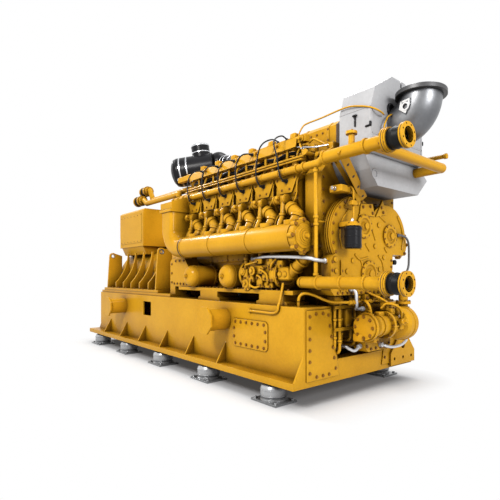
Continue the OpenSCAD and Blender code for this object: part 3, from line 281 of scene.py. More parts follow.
def across_from(axis):
    """Two unit vectors across an axis: the nearest world axis crossed with it, then again."""
    axis = np.asarray(axis, float)
    axis = axis / np.linalg.norm(axis)
    first = np.cross(np.eye(3)[np.abs(axis).argmin()], axis)
    first /= np.linalg.norm(first)
    return axis, first, np.cross(axis, first)


def turned(profile, foot, axis, sides=24):
    """Profile of distances along an axis and radii, turned about it: foot + distance * axis
    + radius * (first * cos a + second * sin a)."""
    axis, first, second = across_from(axis)
    distance, radius = np.asarray(profile, float).T
    turn = np.linspace(0.0, 2.0 * math.pi, sides, endpoint=False)[None, :, None]
    spokes = first * np.cos(turn) + second * np.sin(turn)
    points = np.asarray(foot, float) + distance[:, None, None] * axis
    points = points + radius[:, None, None] * spokes
    return points.reshape(-1, 3), grid_faces(len(distance), sides)


def fitting(foot, axis, steps, bevel, sides=24):
    """Stepped round or hexagon fitting along an axis. Each step has its far end's distance and
    its radius, and a bevel leads from one step to the next."""
    ends, radii = np.array(steps).T
    starts = np.concatenate([[0.0], ends[:-1] + bevel])
    profile = np.stack([np.stack([starts, radii], -1), np.stack([ends, radii], -1)], 1)
    return turned(profile.reshape(-1, 2), foot, axis, sides)


def band(foot, axis, inner, outer, width, lip, sides=24):
    """Clamp band or flange round an axis: over a lip it rises from its inner radius to its
    outer one, and falls again at its other edge."""
    return turned([(0.0, inner), (lip, outer), (width - lip, outer), (width, inner)], foot, axis, sides)


def smooth(points, steps=8):
    """Catmull-Rom curve: each stretch is the cubic through its ends that leaves each end in
    the direction of the chord between its neighbours."""
    points = np.asarray(points, float)
    grown = np.concatenate([[2 * points[0] - points[1]], points, [2 * points[-1] - points[-2]]])
    p0, p1, p2, p3 = (grown[i:len(points) - 1 + i, None] for i in range(4))
    t = np.linspace(0.0, 1.0, steps, endpoint=False)[None, :, None]
    curve = 2 * p1 + (p2 - p0) * t + (2 * p0 - 5 * p1 + 4 * p2 - p3) * t ** 2
    curve = 0.5 * (curve + (3 * p1 - p0 - 3 * p2 + p3) * t ** 3)
    return np.concatenate([curve.reshape(-1, 3), points[-1:]])


def tube(path, radius, sides=12):
    """Round section carried along a path: centre + radius * (first * cos a + second * sin a),
    with both vectors square to the path."""
    path = np.asarray(path, float)
    ahead = np.gradient(path, axis=0)
    ahead /= np.linalg.norm(ahead, axis=1, keepdims=True)
    first = np.cross(np.eye(3)[np.abs(ahead).mean(axis=0).argmin()], ahead)
    first /= np.linalg.norm(first, axis=1, keepdims=True)
    second = np.cross(ahead, first)
    turn = np.linspace(0.0, 2.0 * math.pi, sides, endpoint=False)[None, :, None]
    points = path[:, None] + radius * (first[:, None] * np.cos(turn) + second[:, None] * np.sin(turn))
    return points.reshape(-1, 3), grid_faces(len(path), sides)


def pipe(points, radius, sides=12, steps=8):
    """Tube along the smooth curve through points."""
    return tube(smooth(points, steps), radius, sides)


def plate(outline, low, high, axis):
    """Flat outline carried straight along axis 0, 1 or 2 from low to high."""
    outline = np.asarray(outline, float)
    after = np.roll(outline, -1, axis=0)
    area = np.sum(outline[:, 0] * after[:, 1] - after[:, 0] * outline[:, 1])
    if (area > 0.0) == (axis == 1):
        outline = outline[::-1]
    points = np.zeros((2, len(outline), 3))
    points[..., [k for k in range(3) if k != axis]] = outline
    points[0, :, axis] = low
    points[1, :, axis] = high
    return points.reshape(-1, 3), grid_faces(2, len(outline))


def bolt_heads(spots, facing, size=0.03):
    """Hex heads on round washers: rings of twelve points, whose radius above the washer goes
    between the corner and the flat of a hexagon."""
    spots = np.atleast_2d(np.asarray(spots, float))
    facing = np.broadcast_to(np.asarray(facing, float), spots.shape)
    facing = facing / np.linalg.norm(facing, axis=1, keepdims=True)
    nearest = np.where(np.abs(facing[:, :1]) > 0.9, [[0.0, 1.0, 0.0]], [[1.0, 0.0, 0.0]])
    first = np.cross(nearest, facing)
    first /= np.linalg.norm(first, axis=1, keepdims=True)
    second = np.cross(facing, first)
    turn = np.linspace(0.0, 2.0 * math.pi, 12, endpoint=False)
    six = np.where(np.arange(12) % 2, math.cos(math.pi / 6.0), 1.0)
    radius = size * np.stack([0.62 + 0.0 * six, 0.62 + 0.0 * six, 0.52 * six, 0.46 * six])
    height = size * np.array([-0.02, 0.08, 0.12, 0.5])
    spokes = first[:, None] * np.cos(turn)[None, :, None] + second[:, None] * np.sin(turn)[None, :, None]
    points = spots[:, None, None] + height[None, :, None, None] * facing[:, None, None]
    points = points + radius[None, :, :, None] * spokes[:, None]
    starts = np.arange(len(spots))[:, None, None] * 48
    faces = [(block[None] + starts).reshape(-1, block.shape[1]) for block in grid_faces(4, 12)]
    return points.reshape(-1, 3), faces


def row(start, end, count):
    """Evenly spaced points from start to end."""
    return np.linspace(start, end, count)


def rows(*specs):
    """Points of several rows, each from its start, end and count."""
    return np.concatenate([row(*spec) for spec in specs])


def piece(name, shapes, look=engine_paint, edge=0.0):
    """Joins shapes into one smooth-shaded mesh that rides on the set; edge rounds its rims."""
    corners, faces, start = [], [], 0
    for points, blocks in shapes:
        corners.append(points)
        for block in blocks:
            faces.extend((block + start).tolist())
        start += len(points)
    mesh = bpy.data.meshes.new(name)
    mesh.from_pydata((np.concatenate(corners) + [cad_low[0], 0.0, 0.0]).tolist(), [], faces)
    mesh.polygons.foreach_set("use_smooth", np.ones(len(faces), dtype=bool))
    mesh.set_sharp_from_angle(angle=math.radians(32.0))
    mesh.materials.append(look)
    made = bpy.data.objects.new(name, mesh)
    scene.collection.objects.link(made)
    if edge > 0.0:
        rim = made.modifiers.new("rim", "BEVEL")
        rim.width = edge
        rim.segments = 2
        rim.limit_method = "ANGLE"
    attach(made, "root")
    return made


def mirrored(spots):
    """Spots of the near side and the same spots of the far side."""
    return np.concatenate([spots, spots * flip])


def side_bolts(spots, size):
    """Bolt heads that face outwards on the near side's spots and on the far side's."""
    return [bolt_heads(spots, near, size), bolt_heads(spots * flip, far, size)]


cover_low, cover_high = from_end(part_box("side_covers"))
wall_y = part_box("girder_near")[0][1]
frame_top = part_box("girder_near")[1][2]
panel_x = from_end(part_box("end_panels"))[1][0]
panel_bolts = mirrored(rows(((panel_x, -0.975, 0.4), (panel_x, -0.975, 1.06), 6),
        ((panel_x, -0.52, 0.4), (panel_x, -0.655, 1.06), 6),
        ((panel_x, -0.87, 1.085), (panel_x, -0.75, 1.085), 2),
        ((panel_x, -0.86, 0.345), (panel_x, -0.64, 0.345), 3)))
piece("panel_bolts", [bolt_heads(panel_bolts, front, 0.034)], bolt_shade_paint)
cover_y = cover_low[1]
cover_bolts = rows(*(((cover_low[0] + 0.07, cover_y, z), (cover_high[0] - 0.07, cover_y, z), 6)
        for z in (cover_low[2] + 0.04, cover_high[2] - 0.04)),
    *(((x, cover_y, cover_low[2] + 0.13), (x, cover_y, cover_high[2] - 0.13), 2)
        for x in (cover_low[0] + 0.04, cover_high[0] - 0.04)))
piece("cover_bolts", side_bolts(cover_bolts, 0.034), bolt_shade_paint)

# Drain pipes of the bedplate: bent steel pipe, capped with a plug, clipped over the girder.
piece("drain_pipe",
    [pipe([(5.9, wall_y - 0.02, 1.075), (6.15, wall_y - 0.02, 1.073), (6.36, wall_y - 0.02, 1.073),
                (6.445, wall_y - 0.02, 1.105), (6.465, wall_y - 0.02, 1.17),
                (6.46, wall_y + 0.01, 1.235), (6.445, wall_y + 0.05, 1.33), (6.42, wall_y + 0.1, 1.44)],
            0.017),
        turned([(0.0, 0.026), (0.03, 0.026), (0.035, 0.018)], (5.875, wall_y - 0.02, 1.075), front, 6)])
ledge_nuts = [band((7.1, y, 1.212), far, 0.02, 0.03, 0.046, 0.006, 6)
    for y in (-0.52, -0.45, -0.3, -0.12, 0.05, 0.12, 0.28)]
ledge_valves = [fitting((7.1, y, 1.212), up, [(0.05, 0.016), (0.08, 0.028)], 0.002, 10)
    for y in (-0.34, -0.02, 0.2)]
piece("ledge_pipe",
    [pipe([(6.72, -0.985, frame_top), (6.72, -0.985, 1.25), (6.735, -0.965, 1.305),
                (6.78, -0.92, 1.325), (6.84, -0.84, 1.3), (6.9, -0.74, 1.25), (6.97, -0.68, 1.225),
                (7.07, -0.6, 1.22), (7.1, -0.45, 1.215), (7.1, 0.0, 1.21), (7.1, 0.4, 1.205)], 0.018)]
        + ledge_nuts + ledge_valves)

# ---- Isolators ----
# Ten steel spring isolators in two rows, with round cups over their springs and silver paint.
# Each is held to the plinth by four anchor nuts.
isolator_paint = finish("isolator_paint", (0.44, 0.45, 0.46), (0.6, 0.61, 0.62), (0.05, 0.05, 0.055),
    (0.8, 0.81, 0.82), (0.24, 0.4), metal=0.55, coat=0.2)
coat_nodes(isolator_paint, "isolators")
foot_low, foot_high = from_end(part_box("isolators"))
foot_x = np.linspace(foot_low[0] + 0.23, foot_high[0] - 0.23, 5)
foot_y = foot_high[1] - 0.175
spots = np.stack(np.meshgrid(foot_x, [-0.19, 0.19], [-foot_y, foot_y], [-0.135, 0.135], indexing="ij"),
    axis=-1).reshape(-1, 4)
anchors = np.stack([spots[:, 0] + spots[:, 1], spots[:, 2] + spots[:, 3], np.full(len(spots), 0.025)],
    axis=-1)
piece("anchor_nuts", [bolt_heads(anchors, up, 0.04)], isolator_paint)
cup_rings = [band((x, side * foot_y, z), up, 0.16, 0.169, 0.02, 0.004, 32)
    for x in foot_x for side in (-1.0, 1.0) for z in (0.075, 0.15)]
piece("isolator_beads", cup_rings, isolator_paint)

# ---- Alternator ----
# Frame welded from steel plate, with side fins and lifting plates, under its cable box. It
# stands on two stacked rails and is bolted down through its feet.
coat_nodes(engine_paint, "alternator_body", "alternator_fins", "alternator_feet", "terminal_box")
fin_low, fin_high = from_end(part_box("alternator_fins"))
fin_foot = fin_low[2]
rail_bolts = mirrored(rows(((1.1, -0.975, fin_foot), (2.74, -0.975, fin_foot), 5),
        ((0.58, -0.975, fin_foot), (0.76, -0.975, fin_foot), 2)))
eyes = [(x, side * 0.88, fin_high[2] - 0.075) for x in (fin_low[0], fin_low[0] + 0.04,
        fin_high[0] - 0.04, fin_high[0]) for side in (-1.0, 1.0)]
bright_steel = finish("bright_steel", (0.6, 0.61, 0.63), (0.74, 0.75, 0.77), (0.08, 0.08, 0.085),
    (0.88, 0.89, 0.9), (0.18, 0.3), metal=0.9, radius=0.002, painted_shade_share=0.5)


def ring(foot, axis, inner, outer, width, sides=32):
    """Flat ring round an axis: a square loop of four circles, closed on itself."""
    axis, first, second = across_from(axis)
    turn = np.linspace(0.0, 2.0 * math.pi, sides, endpoint=False)[None, :, None]
    distance = np.array([0.0, 0.0, width, width])[:, None, None]
    radius = np.array([inner, outer, outer, inner])[:, None, None]
    spokes = first * np.cos(turn) + second * np.sin(turn)
    points = np.asarray(foot, float) + distance * axis + radius * spokes
    rise = np.arange(4)[:, None]
    side = np.arange(sides)[None, :]
    above = (rise + 1) % 4
    after = (side + 1) % sides
    quads = np.stack([rise * sides + side, rise * sides + after, above * sides + after,
            above * sides + side], axis=-1)
    return points.reshape(-1, 3), [quads.reshape(-1, 4)]


piece("lifting_bushes",
    [ring((x - 0.003, y, z), front, 0.032, 0.05, 0.006) for x, y, z in eyes], bright_steel)
piece("alternator_bolts", [bolt_heads(rail_bolts, up, 0.045)], bolt_shade_paint)

box_low, box_high = from_end(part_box("terminal_box"))


def rounded(low, high, radius, steps=4):
    """Rectangle from low to high with round corners: four quarter arcs joined."""
    turn = np.linspace(0.0, 0.5 * math.pi, steps)
    arcs = []
    for quarter, (across, above) in enumerate(((1, 1), (0, 1), (0, 0), (1, 0))):
        centre = [(high[0] - radius) if across else (low[0] + radius),
            (high[1] - radius) if above else (low[1] + radius)]
        angle = turn + quarter * 0.5 * math.pi
        arcs.append(np.stack([centre[0] + radius * np.cos(angle), centre[1] + radius * np.sin(angle)],
                axis=-1))
    return np.concatenate(arcs)


side_plate = rounded((box_low[0] + 0.13, box_low[2] + 0.25), (box_high[0] - 0.07, box_high[2] - 0.1),
    0.02)
side_screws = np.concatenate([row((box_low[0] + 0.16, 0.0, z), (box_high[0] - 0.1, 0.0, z), 7)
            for z in (box_low[2] + 0.28, box_high[2] - 0.13)])
box_covers, box_screws = [], []
for side in (-1.0, 1.0):
    face_y = side * box_high[1]
    box_covers.append(plate(side_plate, *sorted((face_y, face_y + side * 0.006)), 1))
    box_screws.append(bolt_heads(side_screws + [0.0, face_y + side * 0.006, 0.0], (0.0, side, 0.0),
            0.016))
piece("cable_box_covers", box_covers, edge=0.003)
piece("cable_box_screws", box_screws, bolt_shade_paint)

# ---- Flywheel housing and engine feet ----
# Cast iron, in the same enamel as the block: the housing between the alternator and the
# engine, and the feet, bolted to the block and down on the girders.
coat_nodes(engine_paint, "coupling_housing", "engine_mounts", "oil_pan", "crankcase")
bracket_bolts = rows(((3.46, -0.93, 1.42), (3.46, -0.93, 1.74), 3),
    ((3.6, -0.93, 1.79), (3.88, -0.93, 1.79), 3), ((3.55, -0.93, 1.4), (3.98, -0.93, 1.4), 5))
piece("bracket_bolts", side_bolts(bracket_bolts, 0.034), bolt_shade_paint)

# ---- Engine block ----
# V block cast in iron and enamelled. Its mounting rail and its camshaft covers are held by
# long rows of bolts.
rail_bolts = mirrored(row((4.1, -0.945, 1.35), (6.5, -0.945, 1.35), 24))
cam_bolts = rows(*(((3.92, -0.646, z), (6.5, -0.646, z), 19) for z in (1.778, 1.862)))
piece("block_bolts", [bolt_heads(rail_bolts, up, 0.036)] + side_bolts(cam_bolts, 0.026), bolt_shade_paint)
cam_plates = []
cylinder_pitch = 0.45
for i in range(6):
    outline = rounded((3.9 + cylinder_pitch * i, 1.752), (4.31 + cylinder_pitch * i, 1.888), 0.03)
    for side in (-1.0, 1.0):
        cam_plates.append(plate(outline, *sorted((side * 0.644, side * 0.654)), 1))
piece("camshaft_covers", cam_plates, edge=0.003)

# ---- Cylinder heads ----
# Six cast heads a bank, with aluminium rocker covers whose funnel ends face outwards, and
# clamped ducts down to the mixture tube. Screws, clamp bands, plugs and small lines are fixed
# to each.
coat_nodes(engine_paint, "heads_near", "heads_far", "ducts_near", "ducts_far")
black_paint = finish("black_paint", (0.006, 0.006, 0.007), (0.012, 0.012, 0.014), (0.002, 0.002, 0.002),
    (0.05, 0.05, 0.055), (0.24, 0.36), gloss=0.16)
cylinder_x = 4.096 + cylinder_pitch * np.arange(6)
bank_tilt = math.radians(30.0)


def on_head(across, rise):
    """Y and Z of a point in the tilted frame of a near head: across it, and above its joint."""
    return (-0.97 * math.sin(bank_tilt) + across * math.cos(bank_tilt) - rise * math.sin(bank_tilt),
        1.55 + 0.97 * math.cos(bank_tilt) + across * math.sin(bank_tilt) + rise * math.cos(bank_tilt))


def both(*shapes):
    """Shapes, each with its mirror image on the far side, whose faces are turned over."""
    flipped = [(points * flip, [block[:, ::-1] for block in blocks]) for points, blocks in shapes]
    return [shape for pair in zip(shapes, flipped) for shape in pair]


outward = np.array([0.0, -math.cos(bank_tilt), -math.sin(bank_tilt)])
upward = np.array([0.0, -math.sin(bank_tilt), math.cos(bank_tilt)])
head_screws, head_bands, head_trim, head_plugs = [], [], [], []
for x in cylinder_x:
    cover_spots = [(x + dx,) + on_head(dy, 0.335) for dx in (-0.17, 0.17) for dy in (-0.225, 0.225)]
    port_spots = [(x + dx,) + on_head(-0.282, rise) for dx in (-0.128, 0.128)
        for rise in (0.065, 0.14, 0.215)]
    head_screws += both(bolt_heads([(px, y, z - 0.012) for px, y, z in cover_spots], upward, 0.034),
        bolt_heads(port_spots, outward, 0.038),
        bolt_heads([(x - 0.16, -0.851, 2.762), (x + 0.16, -0.851, 2.762), (x - 0.07, -0.851, 2.63),
                (x + 0.07, -0.851, 2.63)], near, 0.024))
    clamp = np.array([x - 0.145, -0.892, 2.501])
    for dx in (0.004, 0.1, 0.196):
        head_bands += both(band(clamp + [dx, 0.0, 0.0], front, 0.05, 0.064, 0.025, 0.003))
    head_trim += both(turned([(0.0, 0.028), (0.05, 0.028), (0.062, 0.016)], clamp + [0.12, -0.05, 0.0],
            (0.0, -1.0, 0.25), 12))
    bend_foot = np.array([x + 0.272, -0.975, 2.128])
    bend_top = np.array([x + 0.279, -0.908, 2.262])
    slope = bend_top - bend_foot
    for share in (0.12, 0.8):
        head_bands += both(band(bend_foot + share * slope, slope, 0.072, 0.09, 0.034, 0.004))
    head_bands += both(band((x + 0.15, -0.881, 2.37), (0.8, -0.11, -0.58), 0.072, 0.09, 0.034, 0.004))
    head_trim += both(fitting(bend_foot + 0.2 * slope + [0.0, -0.085, 0.0], (1.0, 0.0, 0.1),
            [(0.03, 0.02), (0.1, 0.012)], 0.002, 8))
    head_bands += both(band((x + 0.028, -0.918, 2.315), (0.03, -0.12, -0.8), 0.038, 0.052, 0.033,
            0.003))
    head_plugs += both(turned([(0.0, 0.014), (0.02, 0.014), (0.022, 0.019), (0.045, 0.019),
                (0.05, 0.012)], (x - 0.1,) + on_head(-0.285, 0.17), outward, 14))
    head_trim += both(pipe([(x - 0.06,) + on_head(-0.282, 0.1), (x - 0.075, -0.9, 2.3),
                (x - 0.075, -0.955, 2.2), (x - 0.08, -0.97, 2.155)], 0.012, 8, 6),
        pipe([(x + 0.19, -0.6, 2.86), (x + 0.205, -0.75, 2.83), (x + 0.205, -0.84, 2.72),
                (x + 0.2, -0.85, 2.55), (x + 0.15, -0.86, 2.44)], 0.011, 8, 6))
piece("head_screws", head_screws, bolt_shade_paint)
piece("duct_clamps", head_bands)
piece("head_trim", head_trim)
piece("knock_sensors", head_plugs, black_paint)

# ---- Mixture intake ----
# Rolled steel tubes along the banks with bolted end covers and joint clamps, elbows from the
# cooler, and the cooler's bolted core.
coat_nodes(engine_paint, "mixture_tubes", "mixture_cooler", "mixture_elbows")
tube_end = from_end(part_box("mixture_tubes"))[1][0]
tube_y, tube_z = -1.0, 2.0
tube_face = tube_end - 0.025
tube_bolts, tube_bands, tube_caps = [], [], []


def circle_spots(centre, axis, radius, count, start=0.0):
    """Evenly spaced points on a circle round an axis."""
    axis, first, second = across_from(axis)
    turn = start + np.arange(count)[:, None] * 2.0 * math.pi / count
    return np.asarray(centre, float) + radius * (first * np.cos(turn) + second * np.sin(turn))


def bolt_circle(centre, axis, radius, count, size, start=0.0):
    """Bolt heads that are evenly spaced on a circle and face along its axis."""
    return bolt_heads(circle_spots(centre, axis, radius, count, start), axis, size)


tube_bolts += both(bolt_circle((tube_face, tube_y, tube_z), front, 0.187, 8, 0.042))
tube_caps += both(turned([(0.0, 0.15), (0.01, 0.145), (0.012, 0.11), (0.02, 0.104)],
        (tube_face - 0.001, tube_y, tube_z), front, 40),
    turned([(0.0, 0.06), (0.012, 0.06), (0.014, 0.03), (0.045, 0.026)],
        (tube_end - 0.001, tube_y, tube_z), front, 24))
for x in (4.07, 4.13, 6.7):
    tube_bands += both(band((x, tube_y, tube_z), front, 0.165, 0.179, 0.023, 0.003, 48))
# Dark brown for the rubber joint of the mixture tube and the flange gaskets; as painted shade it also
# marks the gap at the casing's end and the strap's holes.
gasket_and_shade = finish("gasket_and_shade", (0.03, 0.014, 0.003), (0.045, 0.02, 0.004), (0.008, 0.004, 0.001),
    (0.1, 0.05, 0.01), (0.45, 0.6))
joint = both(band((4.097, tube_y, tube_z), front, 0.16, 0.176, 0.028, 0.002, 48))
piece("tube_cover_bolts", tube_bolts, bolt_shade_paint)
piece("tube_cover_caps", tube_caps)
piece("tube_clamps", tube_bands)
piece("tube_gaskets", joint, gasket_and_shade)
core_x = from_end(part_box("mixture_cooler"))[0][0]
hood_bolts = row((3.5, -1.162, 2.643), (3.87, -1.162, 2.643), 6)
core_bolts = rows(*(((core_x, y, 2.3), (core_x, y, 2.98), 8) for y in (-0.56, 0.56)))
piece("cooler_bolts", side_bolts(hood_bolts, 0.022) + [bolt_heads(core_bolts, back, 0.03)], bolt_shade_paint)

# ---- Oil filters and oil cooler ----
# Cast filter bowls and a tube bundle cooler bolted along the near side of the block, hung
# with small castings and lines and enamelled with the engine. The oil hose has a braid of
# tinned wire.
coat_nodes(engine_paint, "oil_filters", "oil_cooler")
oil_bands, oil_bolts, oil_castings = [], [], []
for x in (4.316, 5.326):
    oil_bands += [band((x, -0.655, 1.53), near, 0.16, 0.184, 0.038, 0.004, 48),
        band((x, -0.99, 1.53), near, 0.165, 0.175, 0.015, 0.003, 48),
        fitting((x, -1.126, 1.53), near, [(0.02, 0.034), (0.045, 0.022)], 0.002, 6)]
    oil_bolts.append(bolt_circle((x, -0.66, 1.53), near, 0.195, 12, 0.026))
oil_bolts += [bolt_circle((6.32, -0.805, 1.555), front, 0.18, 14, 0.028),
    bolt_heads(circle_spots((5.55, -0.805, 1.555), front, 0.18, 14), back, 0.028),
    bolt_heads(row((5.73, -0.915, 1.655), (6.18, -0.915, 1.655), 8), near, 0.026),
    bolt_heads(row((5.73, -0.75, 1.815), (6.18, -0.75, 1.815), 6), up, 0.026)]


def cast_block(centre, size, power=0.3, rings=7, sides=16):
    """Soft-cornered casting: a ball whose sines and cosines are raised to a small power."""
    rise = np.linspace(-0.47 * math.pi, 0.47 * math.pi, rings)[:, None]
    turn = np.linspace(0.0, 2.0 * math.pi, sides, endpoint=False)[None, :]

    def soften(value):
        return np.sign(value) * np.abs(value) ** power

    points = np.stack([soften(np.cos(rise)) * soften(np.cos(turn)),
            soften(np.cos(rise)) * soften(np.sin(turn)), soften(np.sin(rise)) * np.ones_like(turn)],
        axis=-1)
    points = np.asarray(centre, float) + points * 0.5 * np.asarray(size, float)
    return points.reshape(-1, 3), grid_faces(rings, sides)


def castings(*specs):
    """Cast blocks, each from its centre, size and power."""
    return [cast_block(*spec) for spec in specs]


oil_castings += [*castings(((5.7, -0.945, 1.56), (0.1, 0.13, 0.22), 0.45),
        ((5.98, -0.95, 1.61), (0.4, 0.11, 0.12), 0.3), ((5.84, -0.965, 1.5), (0.11, 0.12, 0.11), 0.35),
        ((6.0, -0.96, 1.455), (0.12, 0.1, 0.15), 0.3), ((6.11, -0.965, 1.53), (0.09, 0.11, 0.13), 0.35),
        ((6.13, -0.93, 1.42), (0.2, 0.1, 0.09), 0.3), ((6.24, -0.955, 1.55), (0.11, 0.12, 0.19), 0.35),
        ((5.93, -0.93, 1.725), (0.16, 0.09, 0.08), 0.3), ((6.17, -0.93, 1.7), (0.12, 0.1, 0.12), 0.35),
        ((6.33, -0.9, 1.68), (0.15, 0.14, 0.11), 0.3)),
    fitting((5.905, -1.0, 1.6), near, [(0.03, 0.046), (0.055, 0.06), (0.08, 0.03)], 0.004, 18),
    fitting((6.085, -1.0, 1.61), near, [(0.02, 0.04), (0.045, 0.052), (0.07, 0.026)], 0.004, 6),
    turned([(0.0, 0.052), (0.1, 0.048), (0.104, 0.06), (0.125, 0.06), (0.129, 0.04)],
        (5.93, -0.9, 1.74), up, 18),
    turned([(0.0, 0.045), (0.06, 0.04), (0.064, 0.052), (0.085, 0.052), (0.089, 0.036)],
        (6.18, -0.9, 1.745), up, 18),
    *castings(((6.42, -0.88, 1.56), (0.22, 0.2, 0.18), 0.4),
        ((5.86, -0.8, 1.85), (0.14, 0.12, 0.09), 0.4), ((6.06, -0.8, 1.845), (0.12, 0.11, 0.08), 0.4)),
    turned([(0.0, 0.04), (0.06, 0.034), (0.064, 0.046), (0.1, 0.046), (0.104, 0.03), (0.16, 0.03),
            (0.164, 0.04), (0.19, 0.04), (0.194, 0.022)], (5.6, -0.9, 1.69), up, 16),
    turned([(0.0, 0.1), (0.012, 0.1), (0.016, 0.066), (0.03, 0.06), (0.032, 0.024), (0.055, 0.02)],
        (5.715, -0.985, 1.43), near, 28),
    turned([(0.0, 0.052), (0.014, 0.052), (0.018, 0.034), (0.03, 0.03)], (5.655, -1.005, 1.59), near,
        20),
    band((6.335, -0.825, 1.522), (0.85, -0.52, 0.1), 0.075, 0.11, 0.034, 0.004, 32),
    band((6.56, -0.88, 1.62), (0.78, 0.0, 0.62), 0.073, 0.088, 0.029, 0.003, 32),
    band((6.66, -0.88, 1.7), (0.78, 0.0, 0.62), 0.073, 0.088, 0.029, 0.003, 32)]
oil_bolts.append(bolt_circle((5.715, -0.997, 1.43), near, 0.084, 8, 0.022))
for x in (6.375, 6.465):
    oil_castings.append(fitting((x, -0.975, 1.555), near, [(0.012, 0.036), (0.02, 0.026)], 0.002, 14))
oil_castings += [pipe(route, 0.015, 10) for route in ([(5.72, -1.01, 1.64), (5.76, -1.04, 1.68),
            (5.86, -1.03, 1.7), (5.93, -0.98, 1.72)],
        [(5.84, -1.02, 1.47), (5.86, -1.05, 1.42), (5.95, -1.04, 1.38), (6.02, -1.0, 1.4)],
        [(6.08, -1.06, 1.61), (6.14, -1.07, 1.6), (6.18, -1.03, 1.55), (6.18, -1.01, 1.46),
            (6.14, -0.98, 1.42)],
        [(6.24, -1.01, 1.62), (6.28, -1.03, 1.68), (6.3, -0.98, 1.74), (6.28, -0.9, 1.78)],
        [(5.95, -1.0, 1.52), (6.0, -1.03, 1.54), (6.06, -1.02, 1.5), (6.06, -1.0, 1.44)])]
oil_bolts.append(bolt_heads([(5.7, -1.012, 1.64), (5.7, -1.012, 1.5), (5.815, -1.026, 1.525),
            (5.865, -1.026, 1.475), (5.965, -1.012, 1.5), (6.035, -1.012, 1.41), (6.085, -1.022, 1.565),
            (6.135, -1.022, 1.495), (6.215, -1.016, 1.62), (6.265, -1.016, 1.62), (6.215, -1.016, 1.48),
            (6.265, -1.016, 1.48), (6.07, -0.982, 1.395), (6.19, -0.982, 1.395), (5.8, -1.006, 1.64),
            (6.14, -1.006, 1.64), (6.15, -0.982, 1.735), (6.19, -0.982, 1.665), (6.28, -0.972, 1.7),
            (6.38, -0.972, 1.66)], near, 0.026))
piece("oil_bands", oil_bands)
piece("oil_castings", oil_castings, edge=0.003)
piece("oil_bolts", oil_bolts, bolt_shade_paint)

hose_route = smooth([(5.73, -0.895, 1.765), (5.9, -0.938, 1.772), (6.1, -0.97, 1.782),
        (6.5, -0.984, 1.768), (6.84, -0.972, 1.745), (6.935, -0.93, 1.722), (6.958, -0.86, 1.712),
        (6.955, -0.765, 1.71)])
hose_silver = finish("hose_silver", (0.62, 0.63, 0.65), (0.74, 0.75, 0.77), (0.1, 0.1, 0.11),
    (0.86, 0.87, 0.88), (0.24, 0.38), metal=0.25, bump=0.3, grain=120.0, radius=0.002, painted_shade_share=0.6)
oil_hose = piece("oil_hose",
    [tube(hose_route, 0.021),
        turned([(0.0, 0.024), (0.004, 0.031), (0.035, 0.031), (0.038, 0.024)], hose_route[1],
            hose_route[1] - hose_route[3], 6),
        turned([(0.0, 0.024), (0.004, 0.031), (0.035, 0.031), (0.038, 0.024)], (6.956, -0.8, 1.711),
            far, 6)], hose_silver)
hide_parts("small_pipes")
piece("hose_elbow",
    [pipe([(5.742, -0.892, 1.766), (5.7, -0.885, 1.76), (5.672, -0.88, 1.735), (5.665, -0.878, 1.69)],
            0.025, 14),
        band((5.665, -0.878, 1.7), down, 0.026, 0.034, 0.034, 0.004, 6)], black_paint)

# ---- Front housing and gear case ----
# Cast iron housing with the gear case bolted to it: a joint flange with a lug for each bolt,
# raised webs, three round covers and lifting plates, all under the same enamel.
coat_nodes(engine_paint, "front_housing", "gear_case", "gear_covers")
lug_x, case_x = 6.92, 7.03
lugs = circle_spots((lug_x, 0.38, 2.04), front, 0.45, 22)
lugs = lugs[(lugs[:, 1] < 0.51) | (lugs[:, 2] > 1.82)]
lugs = lugs[(lugs[:, 1] + 0.29) ** 2 + (lugs[:, 2] - 2.04) ** 2 > 0.49 ** 2]
idler_rim = circle_spots((case_x, -0.29, 2.04), front, 0.445, 24)
idler_rim = idler_rim[(idler_rim[:, 1] - 0.38) ** 2 + (idler_rim[:, 2] - 2.04) ** 2 > 0.46 ** 2]
idler_rim = idler_rim[idler_rim[:, 2] > 1.8]
foot_bolts = np.concatenate([row((case_x, -0.64, 1.325), (case_x, 0.44, 1.325), 13),
        row((case_x, -0.735, 1.4), (case_x, -0.735, 1.7), 4),
        row((case_x, 0.475, 1.4), (case_x, 0.475, 1.74), 5),
        [(case_x, -0.674, 1.591), (case_x, -0.564, 1.592), (case_x, -0.47, 1.587)],
        [(case_x, 0.419, 2.093), (case_x, 0.372, 2.15), (case_x, -0.36, 1.72), (case_x, 0.2, 1.62),
            (case_x, 0.28, 1.5), (case_x, -0.42, 1.95)]])
cover_rings = np.concatenate([circle_spots((case_x + 0.022, 0.43, 2.07), front, 0.138, 10),
        circle_spots((case_x + 0.022, -0.14, 2.16), front, 0.138, 10),
        circle_spots((case_x + 0.022, -0.03, 1.56), front, 0.153, 12)])
rim_z = row(1.7, 2.72, 8)
rim_y = np.interp(rim_z, [1.65, 2.3, 2.78], [0.64, 0.76, 0.76]) - 0.035
rim_left = np.stack([np.full(8, 6.88), -rim_y, rim_z], axis=-1)
piece("gear_case_bolts",
    [bolt_heads(lugs, front, 0.034), bolt_heads(idler_rim, front, 0.03),
        bolt_heads(foot_bolts, front, 0.03), bolt_heads(cover_rings, front, 0.022),
        bolt_heads(mirrored(rim_left), front, 0.03),
        bolt_heads(row((6.88, -0.58, 2.915), (6.88, 0.58, 2.915), 10), front, 0.03)], bolt_shade_paint)


def web_on_case(*spots):
    """Raised cast web on the gear case: a round section along a curve through (y, z) spots."""
    return pipe([(case_x + 0.002, y, z) for y, z in spots], 0.013, 10, 6)


